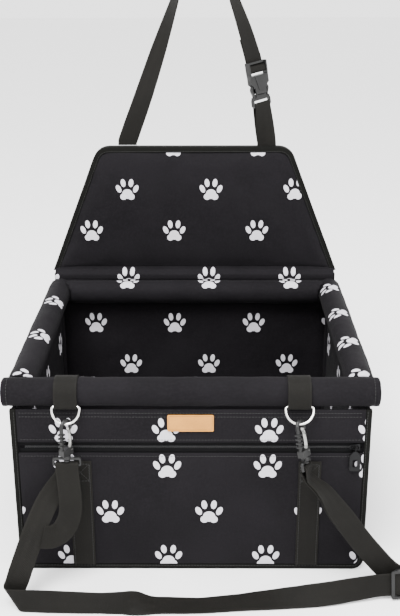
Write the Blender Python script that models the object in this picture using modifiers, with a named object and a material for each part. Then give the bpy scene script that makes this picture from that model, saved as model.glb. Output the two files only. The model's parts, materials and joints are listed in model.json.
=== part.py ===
"""Folding car seat for a small dog: a padded fabric box with tube-stiffened rims,
a folding backrest, a headrest strap with a side-release buckle, and a shoulder
strap with swivel snap hooks.  Metres, +X to the right, +Y to the back, +Z up,
origin at the centre of the base on the surface it stands on."""

import math

import bmesh
import bpy
from mathutils import Matrix, Vector

MM = 0.001
X_AXIS = Vector((1, 0, 0))
Y_AXIS = Vector((0, 1, 0))
Z_AXIS = Vector((0, 0, 1))

# Fits shared by all pieces
SEAT_GAP = 0.3 * MM
CUT_OVERRUN = 5 * MM
WELD_DISTANCE = 0.01 * MM
FLAT_ANGLE = math.radians(0.2)

# Fabric box
BOX_WIDTH = 390 * MM
BOX_DEPTH = 350 * MM
WALL_THICKNESS = 6 * MM
WALL_CROWN = 1.6 * MM
WALL_BORDER = 15 * MM
CROWN_RUN = 24 * MM
BOX_CORNER_RADIUS = 12 * MM
BASE_COVER_THICKNESS = 1.5 * MM
BASE_COVER_RISE = 3 * MM
BASE_BOARD_THICKNESS = 3 * MM
FLOOR_PAD_THICKNESS = 9 * MM
FLOOR_PAD_CROWN = 2.5 * MM
FLOOR_PAD_BORDER = 2 * MM
FLOOR_PAD_CORNER = 10 * MM

# Rim sleeves and the support tubes inside them
SLEEVE_HEIGHT = 218 * MM
SLEEVE_RADIUS = 16 * MM
SLEEVE_BORE_RADIUS = 10.5 * MM
SLEEVE_HEM_LENGTH = 7 * MM
SLEEVE_GROOVE_WIDTH = 1.2 * MM
SLEEVE_GROOVE_DEPTH = 0.6 * MM
SLEEVE_EDGE_ROUND = 1.8 * MM
FRONT_SLEEVE_LENGTH = 409 * MM
FRONT_SLEEVE_SETBACK = 6.5 * MM
SIDE_SLEEVE_SETBACK = 9 * MM
SLEEVE_COPE_START = 6 * MM
TUBE_RADIUS = 10 * MM
TUBE_WALL = 2 * MM
TUBE_CHAMFER = 0.5 * MM
TUBE_END_INSET = 11 * MM
SIDE_TUBE_END_INSET = 3 * MM

# Bindings round the front and rear faces of the box
BINDING_WIDTH = 6.5 * MM
BINDING_PROUD = 0.5 * MM
FRONT_BINDING_THICKNESS = 5.5 * MM
REAR_BINDING_THICKNESS = 3 * MM
BINDING_ROUND = 1.2 * MM

# Zip pocket on the front
POCKET_THICKNESS = 2.5 * MM
POCKET_STAND_OFF = 3 * MM
ZIP_HEIGHT = 155.5 * MM
ZIP_OPENING = 13 * MM
ZIP_LENGTH = 374 * MM
ZIP_TAPE_WIDTH = 12 * MM
ZIP_THICKNESS = 1.2 * MM
ZIP_STAND_OFF = 1.5 * MM
TOOTH_PITCH = 5 * MM
TOOTH_WIDTH = 2 * MM
TOOTH_REACH = 1.3 * MM
TAPE_EDGE = 1.7 * MM
TOOTH_END_MARGIN = 14 * MM
SLIDER_LENGTH = 11 * MM
SLIDER_HEIGHT = 9 * MM
SLIDER_WAIST = 6.4 * MM
SLIDER_PLATE = 0.9 * MM
SLIDER_NECK_RADIUS = 1.1 * MM
SLIDER_END_OFFSET = 8 * MM
BRIDGE_HALF_LENGTH = 3.6 * MM
BRIDGE_RISE = 4.4 * MM
BRIDGE_WIRE = 0.65 * MM
PULLER_WIDTH = 12 * MM
PULLER_LENGTH = 24 * MM
PULLER_THICKNESS = 1.5 * MM
PULLER_NECK_WIDTH = 3.4 * MM
PULLER_SHOULDER = 5 * MM
PULLER_EYE_RADIUS = 2 * MM
PULLER_EYE_WIRE = 0.6 * MM
PULLER_SLOT_WIDTH = 5 * MM
PULLER_SLOT_LOW = 5 * MM
PULLER_SLOT_HIGH = 14 * MM

# Label and the webbing bands sewn on the pocket
LABEL_WIDTH = 50 * MM
LABEL_HEIGHT = 19.5 * MM
LABEL_THICKNESS = 1.4 * MM
LABEL_CORNER = 1.6 * MM
LABEL_CENTRE_HEIGHT = 186.3 * MM
LABEL_BORDER = 1.5 * MM
LABEL_GROOVE = 0.5 * MM
WEBBING_WIDTH = 25 * MM
WEBBING_THICKNESS = 1.5 * MM
LEFT_BAND_X = -121.5 * MM
RIGHT_BAND_X = 130.5 * MM
BAND_TOP = 140 * MM

# Rings on the front rim, in their webbing loops
LEFT_RING_X = -133.5 * MM
RIGHT_RING_X = 116.5 * MM
RING_BAR_DROP = 10.5 * MM
RING_WIRE_RADIUS = 1.4 * MM
RING_INNER_WIDTH = 27 * MM
RING_DROP = 18.5 * MM
RING_CORNER = 2.5 * MM
LEFT_RING_TILT = math.radians(22)
RIGHT_RING_TILT = math.radians(35)
LOOP_INNER_END = math.radians(-150)
LOOP_OUTER_END = math.radians(35)

# Swivel snap hooks: the spine-to-gate line turns from the X axis, the eye's bar too
HOOK_WIRE_RADIUS = 2.1 * MM
HOOK_BOW_RADIUS = 4.6 * MM
HOOK_LENGTH = 35.8 * MM
HOOK_NOSE_LENGTH = 4 * MM
HOOK_BASE_WIDTH = 14 * MM
HOOK_BASE_DEPTH = 7.2 * MM
HOOK_BASE_HEIGHT = 8 * MM
HOOK_BASE_ROUND = 1.2 * MM
HOOK_RIB_COUNT = 4
HOOK_RIB_PITCH = 4.4 * MM
HOOK_RIB_HEIGHT = 1.7 * MM
HOOK_RIB_WIDTH = 5.6 * MM
HOOK_STEM_RADIUS = 2 * MM
HOOK_FLANGE_RADIUS = 3.4 * MM
HOOK_FLANGE_THICKNESS = 1.4 * MM
GATE_WIDTH = 3.6 * MM
GATE_HALF_THICKNESS = 0.65 * MM
GATE_BOSS_RADIUS = 1.8 * MM
GATE_BOSS_INSET = 0.2 * MM
GATE_PIN_RADIUS = 1.1 * MM
GATE_PIN_SIDE = 4.6 * MM
GATE_PIN_RISE = 5.8 * MM
GATE_BULGE = 2.3 * MM
EYE_INNER_WIDTH = 26.4 * MM
EYE_WINDOW_HEIGHT = 4.6 * MM
EYE_BAR_RADIUS = 1.5 * MM
EYE_BAR_ROUND = 1 * MM
EYE_STRAP_SLACK = 0.15 * MM
EYE_RAIL_WIDTH = 2.4 * MM
EYE_TOP_BAR = 2.8 * MM
EYE_COLLAR_RADIUS = 4.4 * MM
EYE_COLLAR_HEIGHT = 5.2 * MM
EYE_LEAD = 3.5 * MM
HOOK_TURN = math.radians(55)
LEFT_EYE_TURN = math.radians(0)
LEFT_LEAN_SIDE = math.radians(0)
LEFT_LEAN_OUT = math.radians(4)
RIGHT_EYE_TURN = math.radians(70)
RIGHT_LEAN_SIDE = math.radians(9)
RIGHT_LEAN_OUT = math.radians(12)

# Shoulder strap and its slide adjuster
STATION_SPACING = 10 * MM
TWIST_STEP = math.radians(2.5)
RUN_LEAN = math.radians(76)
RUN_START = Vector((-187, -256.8, 0.4)) * MM
RUN_START_LEAN = math.radians(80)
ADJUSTER_PLACE = Vector((229, -231.4, 4.5)) * MM
RUN_END = Vector((243, -229.8, 4.5)) * MM
TURN_LEAD = 3 * MM
TURN_RADIUS = 6.5 * MM
PLY_SPACING = 2.1 * MM
FOLD_RADIUS = 4 * MM
FOLD_ANGLE = math.radians(115)
FOLD_STEPS = 8
ADJUSTER_SIDE_BAR_PLACE = 9.6 * MM
ADJUSTER_SIDE_BAR_HALF = 1.9 * MM
ADJUSTER_PLATE = 2 * MM
ADJUSTER_RAIL = 2.6 * MM
ADJUSTER_SIDE_CLEARANCE = 0.4 * MM
ADJUSTER_CENTRE_BAR_RADIUS = 1 * MM
ADJUSTER_BACK_HALF = 2.8 * MM
ADJUSTER_INSET = 0.2 * MM
TAIL_LENGTH = 14 * MM

# Route of the shoulder strap, chosen by hand: the run on the ground as places
# (x, y, lift) and leans, the other stretches as places and facing directions,
# drawn for eye bars at these heights
LEFT_EYE_DRAWN = 143.1 * MM
RIGHT_EYE_DRAWN = 146.6 * MM
RUN_ROUTE = (
    ((-152, -258.3, 0.4), 76), ((-96, -260.9, 0.4), 85), ((-72, -260.0, 0.4), 76), ((-66, -258.8, 0.4), 63),
    ((-60, -257.2, 0.4), 50), ((-54.5, -255.4, 0.4), 37), ((-49, -253.7, 0.4), 25), ((-43, -252.0, 0.4), 15),
    ((-36.8, -250.7, 0.4), 8), ((11, -249.5, 0.4), 3), ((54, -245.5, 0.4), 8), ((88, -243.8, 0.5), 20),
    ((118, -242.3, 0.5), 32), ((145, -242.0, 0.8), 53), ((175, -238.3, 2.6), 66), ((203.6, -234.3, 4.5), 76),
)
SEWN_END_ROUTE = (
    ((-173.5, -228.4, 76.5), (0.167, -0.865, 0.474)), ((-164.0, -227.2, 74.0), (0.167, -0.865, 0.474)),
    ((-151.0, -221.5, 69.0), (0.10, -0.92, 0.38)), ((-139.0, -214.5, 73.0), (0.05, -0.97, 0.24)),
    ((-131.5, -208.5, 88.0), (0.0, -0.98, 0.2)), ((-131.0, -203.5, 108.0), (0.0, -1.0, 0.1)),
    ((-132.6, -199.6, 128.0), (0.0, -1.0, 0.0)),
)
BACK_PLY_ROUTE = (
    ((-133.9, -192.6, 134.5), (0.0, 1.0, 0.0)), ((-136.5, -192.9, 127.5), (0.0, 1.0, 0.0)),
    ((-141.5, -193.6, 120.0), (0.0, 1.0, -0.1)), ((-148.5, -195.8, 111.5), (-0.05, 0.96, -0.2)),
    ((-157.0, -202.0, 99.5), (-0.1, 0.92, -0.3)), ((-167.5, -218.0, 79.0), (-0.15, 0.87, -0.45)),
    ((-179.5, -237.0, 48.5), (-0.1, 0.93, -0.35)), ((-185.0, -244.5, 33.0), (-0.05, 0.97, -0.2)),
)

# Route of the strand to the right eye: places and the strap's width directions
STRAND_ROUTE = (
    ((126.6, -207.6, 134.6), (0.34, 0.93, -0.14)), ((136.0, -209.0, 125.6), (0.36, 0.92, -0.05)),
    ((145.5, -210.0, 115.5), (0.50, 0.83, 0.15)), ((156.3, -212.0, 100.1), (0.68, 0.60, 0.40)),
    ((170.3, -214.5, 81.7), (0.76, 0.30, 0.55)), ((185.3, -216.5, 61.4), (0.78, 0.15, 0.58)),
    ((200.3, -218.0, 43.3), (0.72, 0.06, 0.65)), ((216.2, -219.3, 26.0), (0.55, 0.10, 0.80)),
    ((229.0, -219.3, 16.6), (0.35, 0.15, 0.95)),
)

# Backrest
CREASE_RISE = 22 * MM
CREASE_SETBACK = 0.5 * MM
CREASE_CORD_RADIUS = 2 * MM
CREASE_CORD_END = 12 * MM
BACKREST_HALF_BOTTOM = 195 * MM
BACKREST_HALF_TOP = 128 * MM
BACKREST_RISE = 173.5 * MM
BACKREST_CORNER = 22 * MM
BACKREST_PAD_THICKNESS = 6 * MM
BACKREST_CROWN = 2 * MM
BACKREST_BOARD_THICKNESS = 1.6 * MM
BACKREST_COVER_THICKNESS = 1.5 * MM
BACKREST_BINDING_SKIN = 1 * MM
BACKREST_BINDING_LIP = 6.2 * MM

# Headrest strap and its side-release buckle, in the buckle's own frame
HEADREST_RIGHT_X = 97 * MM
HEADREST_SETBACK = 6 * MM
BUCKLE_SIDE = 89.5 * MM
BUCKLE_RISE = 54.5 * MM
BUCKLE_LEAN = math.radians(9)
BUCKLE_TURN = math.radians(38)
BUCKLE_HALF_WIDTH = 15 * MM
BUCKLE_HALF_DEPTH = 4 * MM
STRAP_BAR_HALF_DEPTH = 1.2 * MM
STRAP_SLOT_HALF = 12.9 * MM
PLUG_HALF_DEPTH = 2.4 * MM
PLUG_BAR_TOP = 3.4 * MM
PLUG_SLOT_TOP = 8.8 * MM
PLUG_SHOULDER = 13.2 * MM
PLUG_TOP = 16.4 * MM
PLUG_NECK_HALF = 8.2 * MM
GUIDE_HALF_WIDTH = 2.5 * MM
GUIDE_TOP = 34 * MM
GUIDE_HALF_DEPTH = 2.2 * MM
PRONG_ROOT_SIDE = 10.8 * MM
PRONG_ROOT_RADIUS = 1.3 * MM
PRONG_ROOT_INSET = 0.2 * MM
PRONG_HALF_DEPTH = 2.2 * MM
PRONG_HALF_THICKNESS = 1.1 * MM
PRONG_PAD_SIDE = 13.4 * MM
PRONG_PAD_HEIGHT = 22.5 * MM
PRONG_CATCH_SIDE = 10.6 * MM
PRONG_TIP_SIDE = 10.4 * MM
PRONG_TOP = 37.4 * MM
BARB_LOW = 32.5 * MM
BARB_SIDE = 12.9 * MM
SOCKET_BOTTOM = 16.8 * MM
SOCKET_WAIST_HALF = 8.9 * MM
SOCKET_WAIST_TOP = 22 * MM
SOCKET_SHOULDER = 30 * MM
SOCKET_CAVITY_HALF_DEPTH = 2.6 * MM
SOCKET_LEDGE_HALF = 12 * MM
SOCKET_LEDGE_TOP = 32.1 * MM
SOCKET_LEDGE_SLOPE = 0.1 * MM
SOCKET_CAVITY_HALF = 13.2 * MM
SOCKET_CAVITY_TOP = 38.2 * MM
LADDER_SLOT_LOW = 40.6 * MM
LADDER_BAR_LOW = 45.8 * MM
LADDER_BAR_HIGH = 50.2 * MM
LADDER_SLOT_HIGH = 55.4 * MM
LADDER_TOP = 58 * MM
LADDER_HALF_WIDTH = 15.5 * MM
PLATE_RAISE = 0.7 * MM
PLATE_TOP_HALF = 8 * MM
PLATE_LOW_HALF = 3.4 * MM
HEADREST_TAIL_TOP = 98 * MM
STRAP_LEAD = 4 * MM

# Route of the headrest strap's arch, chosen by hand, from left to right: places
# from the middle of the backrest's top edge, and facing directions
ARCH_ROUTE = (
    ((-88.8, 0, 6.9), (0.0, -1.0, 0.0)), ((-67.0, 0, 65.5), (-0.35, -0.94, 0.0)),
    ((-45.0, 0, 127.5), (-0.65, -0.76, 0.0)), ((-23.7, 0, 188.5), (-0.90, -0.43, 0.25)),
    ((-17.0, 0, 208.5), (-0.95, -0.2, 0.4)), ((-8.0, 0, 226.5), (-0.75, 0.0, 0.65)),
    ((8.0, 0, 237.5), (-0.1, 0.0, 1.0)), ((26.0, 0, 235.5), (0.45, 0.0, 0.9)),
    ((38.0, 0, 222.5), (0.85, -0.1, 0.5)), ((46.0, 0, 204.5), (0.95, -0.3, 0.2)),
    ((53.0, 0, 187.5), (0.85, -0.50, 0.1)), ((66.0, -0.4, 152.5), (0.72, -0.68, 0.1)),
)

# Places that follow from the sizes
WALL_FRONT = BOX_DEPTH / 2
WALL_SIDE = BOX_WIDTH / 2
WALL_TOP = SLEEVE_HEIGHT - SLEEVE_RADIUS - SEAT_GAP
BINDING_OUTER = WALL_SIDE + BINDING_PROUD
BINDING_INNER = BINDING_OUTER - BINDING_WIDTH
FRONT_SLEEVE_Y = FRONT_SLEEVE_SETBACK - WALL_FRONT
SIDE_SLEEVE_X = WALL_SIDE - SIDE_SLEEVE_SETBACK
REAR_SLEEVE_Y = WALL_FRONT - WALL_THICKNESS - SEAT_GAP - SLEEVE_RADIUS
POCKET_BACK = WALL_FRONT + POCKET_STAND_OFF
POCKET_FACE = POCKET_BACK + POCKET_THICKNESS
POCKET_HALF = BINDING_INNER - SEAT_GAP
SEWN_FACE = POCKET_FACE + SEAT_GAP
ZIP_BACK = WALL_FRONT + ZIP_STAND_OFF
ZIP_FACE = ZIP_BACK + ZIP_THICKNESS
SLIDER_X = ZIP_LENGTH / 2 - SLIDER_END_OFFSET
SLIDER_FACE = ZIP_FACE + SEAT_GAP + SLIDER_PLATE
PULLER_AXIS = Vector((SLIDER_X, -SLIDER_FACE - BRIDGE_RISE, ZIP_HEIGHT))
FRONT_SLEEVE_CENTRE = Vector((0, FRONT_SLEEVE_Y, SLEEVE_HEIGHT))
LOOP_RADIUS = SLEEVE_RADIUS + SEAT_GAP + WEBBING_THICKNESS / 2
LOOP_OUTER_RADIUS = LOOP_RADIUS + WEBBING_THICKNESS + SEAT_GAP
RING_REACH = LOOP_RADIUS + WEBBING_THICKNESS / 2 + SEAT_GAP + RING_WIRE_RADIUS
RING_BAR_HEIGHT = SLEEVE_HEIGHT - RING_BAR_DROP
RING_BAR_Y = FRONT_SLEEVE_Y - math.sqrt(RING_REACH ** 2 - RING_BAR_DROP ** 2)
RING_WRAP_RADIUS = RING_WIRE_RADIUS + SEAT_GAP + WEBBING_THICKNESS / 2
HOOK_SIDE = HOOK_BOW_RADIUS + HOOK_WIRE_RADIUS
HOOK_BOW_CENTRE = RING_WIRE_RADIUS + SEAT_GAP - HOOK_BOW_RADIUS
HOOK_BASE_TOP = HOOK_BASE_HEIGHT - HOOK_LENGTH
GATE_PIN_HEIGHT = GATE_PIN_RISE - HOOK_LENGTH
COLLAR_TOP = -HOOK_LENGTH - SEAT_GAP
WINDOW_TOP = COLLAR_TOP - EYE_COLLAR_HEIGHT
WINDOW_LOW = WINDOW_TOP - EYE_WINDOW_HEIGHT
EYE_BAR_HEIGHT = WINDOW_LOW - EYE_BAR_RADIUS
EYE_WRAP_RADIUS = EYE_BAR_RADIUS + SEAT_GAP + EYE_STRAP_SLACK + WEBBING_THICKNESS / 2
CREASE_HEIGHT = SLEEVE_HEIGHT + CREASE_RISE
CREASE_Y = WALL_FRONT + CREASE_SETBACK
BACKREST_LOW = CREASE_HEIGHT + CREASE_CORD_RADIUS + SEAT_GAP
BACKREST_TOP = CREASE_HEIGHT + BACKREST_RISE
HEADREST_FOOT = Vector((0, WALL_FRONT + HEADREST_SETBACK, BACKREST_TOP))
BUCKLE_ORIGIN = HEADREST_FOOT + Vector((BUCKLE_SIDE, 0, BUCKLE_RISE))
PAD_FACE = CREASE_Y + CREASE_SETBACK
PAD_BACK = PAD_FACE + BACKREST_PAD_THICKNESS
BOARD_BACK = PAD_BACK + SEAT_GAP + BACKREST_BOARD_THICKNESS
COVER_BACK = BOARD_BACK + SEAT_GAP + BACKREST_COVER_THICKNESS
STRAP_BAR_OFFSET = STRAP_BAR_HALF_DEPTH * math.sqrt(2) + SEAT_GAP + WEBBING_THICKNESS / 2
ADJUSTER_WRAP_RADIUS = ADJUSTER_CENTRE_BAR_RADIUS + SEAT_GAP + WEBBING_THICKNESS / 2

# Resolution
ARC_STEPS = 5
SLEEVE_STEPS = 24
TUBE_STEPS = 20
ROD_STEPS = 16
WRAP_STEPS = 8

# Base colour, roughness and metallic value of each finish
FINISHES = {
    "printed_fabric": ((0.030, 0.028, 0.033), 0.82, 0.0),
    "lining_fabric": ((0.030, 0.028, 0.033), 0.85, 0.0),
    "binding_tape": ((0.022, 0.022, 0.018), 0.80, 0.0),
    "strap_webbing": ((0.052, 0.050, 0.045), 0.78, 0.0),
    "black_plastic": ((0.035, 0.035, 0.034), 0.38, 0.0),
    "nickel_steel": ((0.72, 0.71, 0.69), 0.22, 1.0),
    "dark_metal": ((0.10, 0.10, 0.10), 0.32, 1.0),
    "tube_plastic": ((0.62, 0.62, 0.60), 0.45, 0.0),
    "stiffener_board": ((0.12, 0.12, 0.12), 0.70, 0.0),
    "label_leather": ((0.66, 0.46, 0.27), 0.62, 0.0),
    "zip_tape": ((0.016, 0.016, 0.016), 0.70, 0.0),
}


# Scene and material helpers

def clear_scene():
    for scene_object in list(bpy.data.objects):
        bpy.data.objects.remove(scene_object, do_unlink=True)


def new_collection(name):
    collection = bpy.data.collections.new(name)
    bpy.context.scene.collection.children.link(collection)
    return collection


def finish_material(name):
    material = bpy.data.materials.get(name)
    if material is None:
        colour, roughness, metallic = FINISHES[name]
        material = bpy.data.materials.new(name)
        material.use_nodes = True
        shader = material.node_tree.nodes["Principled BSDF"]
        shader.inputs["Base Color"].default_value = (*colour, 1)
        shader.inputs["Roughness"].default_value = roughness
        shader.inputs["Metallic"].default_value = metallic
        material.diffuse_color = (*colour, 1)
    return material


def add_piece(name, mesh, finish, frame=None, smooth=False):
    """A named piece in the seat's collection, placed by its frame."""
    mesh.name = name
    mesh.materials.clear()
    mesh.materials.append(finish_material(finish))
    if smooth:
        mesh.shade_smooth()
    piece = bpy.data.objects.new(name, mesh)
    SEAT.objects.link(piece)
    if frame is not None:
        piece.matrix_world = frame
    return piece


def shape(piece, helper_mesh, operation):
    """Cuts from a piece, or joins to it, a mesh given in the piece's own frame."""
    helper = bpy.data.objects.new(piece.name + "_" + operation.lower(), helper_mesh)
    CUTTERS.objects.link(helper)
    helper.matrix_world = piece.matrix_world
    helper.display_type = "WIRE"
    helper.hide_render = True
    modifier = piece.modifiers.new(operation.title(), "BOOLEAN")
    modifier.operation = operation
    modifier.solver = "EXACT"
    modifier.object = helper


def cut(piece, helper_mesh):
    shape(piece, helper_mesh, "DIFFERENCE")


def join(piece, helper_mesh):
    shape(piece, helper_mesh, "UNION")


def round_edges(piece, width, segments=2):
    bevel = piece.modifiers.new("Round", "BEVEL")
    bevel.width = width
    bevel.segments = segments
    bevel.use_clamp_overlap = False
    bevel.limit_method = "ANGLE"
    bevel.angle_limit = math.radians(40)


def axis_empty(name, place, parent=None):
    """The axis of a moving body, which carries the body's pieces."""
    empty = bpy.data.objects.new(name, None)
    SEAT.objects.link(empty)
    empty.empty_display_size = SLEEVE_RADIUS
    empty.matrix_world = Matrix.Translation(place)
    if parent is not None:
        hang_on(empty, parent)
    return empty


def hang_on(piece, carrier):
    """Parents a piece to a body's axis, without moving it."""
    bpy.context.view_layer.update()
    placed = piece.matrix_world.copy()
    piece.parent = carrier
    piece.matrix_parent_inverse = carrier.matrix_world.inverted()
    piece.matrix_world = placed


# Frames: an outline's first direction, its second one, and the side it faces

def facing(right, up, origin=(0, 0, 0)):
    matrix = Matrix((right, up, right.cross(up))).transposed().to_4x4()
    matrix.translation = Vector(origin)
    return matrix


FACING_FRONT = facing(X_AXIS, Z_AXIS)
FACING_RIGHT = facing(Y_AXIS, Z_AXIS)
FACING_UP = Matrix.Identity(4)


# Outlines, as (a, b) pairs that run counter-clockwise

def rounded_outline(corners, radii):
    """Corners joined by arcs, one radius a corner, sharp where it is zero."""
    points = []
    count = len(corners)
    for index, (corner, radius) in enumerate(zip(corners, radii)):
        here = Vector(corner)
        if radius == 0:
            points.append(tuple(here))
            continue
        before = (Vector(corners[index - 1]) - here).normalized()
        after = (Vector(corners[(index + 1) % count]) - here).normalized()
        half = before.angle(after) / 2
        start = here + before * radius / math.tan(half)
        centre = here + (before + after).normalized() * radius / math.sin(half)
        turn = math.copysign(math.pi - 2 * half, before.cross(after) * -1)
        for step in range(ARC_STEPS + 1):
            angle = turn * step / ARC_STEPS
            points.append(tuple(centre + Matrix.Rotation(angle, 2) @ (start - centre)))
    return points


def rectangle(low_a, high_a, low_b, high_b, radius=0):
    corners = [(low_a, low_b), (high_a, low_b), (high_a, high_b), (low_a, high_b)]
    return rounded_outline(corners, [radius] * 4)


def mirrored_outline(half):
    """A full outline from its right half, listed from the bottom to the top."""
    return half + [(-a, b) for a, b in reversed(half)]


def strip_outline(centres, half_widths):
    """The outline of a strip along centre points, with a half width at each."""
    sides = ([], [])
    for index, (centre, half_width) in enumerate(zip(centres, half_widths)):
        ahead = Vector(centres[min(index + 1, len(centres) - 1)])
        behind = Vector(centres[max(index - 1, 0)])
        along = (ahead - behind).normalized()
        across = Vector((along.y, -along.x)) * half_width
        sides[0].append(tuple(Vector(centre) + across))
        sides[1].append(tuple(Vector(centre) - across))
    return sides[0] + sides[1][::-1]


def arc_points(centre, radius, start, end, steps):
    angles = [start + (end - start) * step / steps for step in range(steps + 1)]
    return [(centre[0] + radius * math.cos(angle), centre[1] + radius * math.sin(angle)) for angle in angles]


# Meshes

def mesh_from(bm):
    bmesh.ops.recalc_face_normals(bm, faces=bm.faces)
    mesh = bpy.data.meshes.new("shape")
    bm.to_mesh(mesh)
    bm.free()
    return mesh


def block_mesh(low, high):
    """A box between two opposite corners."""
    bm = bmesh.new()
    size = Vector(high) - Vector(low)
    middle = Vector(low) + size / 2
    bmesh.ops.create_cube(bm, size=1, matrix=Matrix.Translation(middle) @ Matrix.Diagonal((*size, 1)))
    return mesh_from(bm)


def rod_mesh(radius, low, high, axis=Z_AXIS, centre=(0, 0, 0), steps=ROD_STEPS):
    """A cylinder between two places along an axis through a centre."""
    bm = bmesh.new()
    middle = Matrix.Translation(Vector(centre) + axis * (low + high) / 2)
    turn = Z_AXIS.rotation_difference(axis).to_matrix().to_4x4()
    bmesh.ops.create_cone(
        bm, cap_ends=True, segments=steps, radius1=radius, radius2=radius, depth=high - low, matrix=middle @ turn,
    )
    return mesh_from(bm)


def curve_mesh(curve, matrix):
    """The closed mesh of a curve, its caps welded."""
    carrier = bpy.data.objects.new("curve", curve)
    bpy.context.scene.collection.objects.link(carrier)
    graph = bpy.context.evaluated_depsgraph_get()
    mesh = bpy.data.meshes.new_from_object(carrier.evaluated_get(graph))
    bpy.data.objects.remove(carrier, do_unlink=True)
    bm = bmesh.new()
    bm.from_mesh(mesh)
    bmesh.ops.remove_doubles(bm, verts=bm.verts, dist=WELD_DISTANCE)
    bmesh.ops.dissolve_degenerate(bm, dist=WELD_DISTANCE, edges=bm.edges)
    bmesh.ops.dissolve_limit(bm, angle_limit=FLAT_ANGLE, verts=bm.verts, edges=bm.edges)
    bmesh.ops.transform(bm, matrix=matrix, verts=bm.verts)
    return mesh_from(bm)


def slab_mesh(outlines, low, high, frame=FACING_UP):
    """A flat outline, and the holes listed after it, given a thickness."""
    curve = bpy.data.curves.new("outline", "CURVE")
    curve.dimensions = "2D"
    curve.fill_mode = "BOTH"
    curve.extrude = (high - low) / 2
    for outline in outlines:
        spline = curve.splines.new("POLY")
        spline.points.add(len(outline) - 1)
        for point, (a, b) in zip(spline.points, outline):
            point.co = (a, b, 0, 1)
        spline.use_cyclic_u = True
    return curve_mesh(curve, frame @ Matrix.Translation((0, 0, (low + high) / 2)))


def wire_mesh(points, radius, closed=False):
    """A round wire through points."""
    curve = bpy.data.curves.new("wire", "CURVE")
    curve.dimensions = "3D"
    curve.bevel_depth = radius
    curve.bevel_resolution = 2
    curve.use_fill_caps = not closed
    spline = curve.splines.new("POLY")
    spline.points.add(len(points) - 1)
    for point, place in zip(spline.points, points):
        point.co = (*place, 1)
    spline.use_cyclic_u = closed
    return curve_mesh(curve, FACING_UP)


def padded_mesh(outline, low, high, frame, border, crown_out=0, crown_in=0):
    """A stuffed panel: a flat border, then faces that swell to a crown."""
    crown_shares = (0.55, 0.35, 0.10)
    spans = [(min(values), max(values)) for values in zip(*outline)]
    middle = [(span[0] + span[1]) / 2 for span in spans]
    halves = [(span[1] - span[0]) / 2 for span in spans]
    bm = bmesh.new()
    under = bm.faces.new([bm.verts.new((a, b, low)) for a, b in outline])
    made = bmesh.ops.extrude_face_region(bm, geom=[under], use_keep_orig=True)["geom"]
    upper = next(item for item in made if isinstance(item, bmesh.types.BMFace))
    bmesh.ops.translate(bm, vec=(0, 0, high - low), verts=upper.verts)
    for face, crown in ((upper, crown_out), (under, -crown_in)):
        if crown == 0:
            continue
        inset = 0
        for run, share in [(border, 0)] + [(CROWN_RUN / len(crown_shares), share) for share in crown_shares]:
            face = bmesh.ops.extrude_discrete_faces(bm, faces=[face])["faces"][0]
            scales = [(half - inset - run) / (half - inset) for half in halves]
            bmesh.ops.scale(
                bm, vec=(*scales, 1), space=Matrix.Translation((-middle[0], -middle[1], 0)), verts=face.verts,
            )
            bmesh.ops.translate(bm, vec=(0, 0, crown * share), verts=face.verts)
            inset += run
    bmesh.ops.transform(bm, matrix=frame, verts=bm.verts)
    return mesh_from(bm)


def turned_piece(name, profile, finish, frame, steps):
    """A closed profile of (radius, height) pairs turned about its frame's Z axis.
    The profile runs down its outer side and up its inner side."""
    bm = bmesh.new()
    verts = [bm.verts.new((radius, 0, height)) for radius, height in profile]
    for index, vert in enumerate(verts):
        bm.edges.new((vert, verts[(index + 1) % len(verts)]))
    mesh = bpy.data.meshes.new(name)
    bm.to_mesh(mesh)
    bm.free()
    piece = add_piece(name, mesh, finish, frame)
    screw = piece.modifiers.new("Turn", "SCREW")
    screw.steps = steps
    screw.render_steps = steps
    screw.use_merge_vertices = True
    screw.merge_threshold = WELD_DISTANCE
    return piece


# Webbing: stations of (place, direction its outer side faces)

def twist_between(before, after):
    """The angle between two stations' facing directions, seen along the strap."""
    chord = after[0] - before[0]
    if chord.length < WELD_DISTANCE:
        return 0
    along = chord.normalized()
    sides = [station[1] - along * station[1].dot(along) for station in (before, after)]
    if min(side.length for side in sides) < FLAT_ANGLE:
        return 0
    return sides[0].angle(sides[1])


def smooth_stations(stations, spacing=STATION_SPACING):
    """Stations read at a spacing from a smooth curve through the given ones,
    closer together where the strap twists."""
    result = [stations[0]]
    count = len(stations)
    for index in range(count - 1):
        places = [stations[min(max(index + shift, 0), count - 1)][0] for shift in (-1, 0, 1, 2)]
        chord = (places[2] - places[1]).length
        before = max((places[1] - places[0]).length, WELD_DISTANCE)
        after = max((places[3] - places[2]).length, WELD_DISTANCE)
        start = (places[2] - places[0]) * chord / (chord + before)
        end = (places[3] - places[1]) * chord / (chord + after)
        twist = twist_between(stations[index], stations[index + 1])
        steps = max(1, round(chord / spacing), math.ceil(twist / TWIST_STEP))
        if len(stations[index]) > 2 or len(stations[index + 1]) > 2:
            steps = 1
        for step in range(1, steps + 1):
            share = step / steps
            square, cube = share ** 2, share ** 3
            place = (
                places[1] * (2 * cube - 3 * square + 1) + start * (cube - 2 * square + share)
                + places[2] * (3 * square - 2 * cube) + end * (cube - square)
            )
            outward = stations[index][1].lerp(stations[index + 1][1], share).normalized()
            result.append((place, outward))
        result[-1] = stations[index + 1]
    return result


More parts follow.
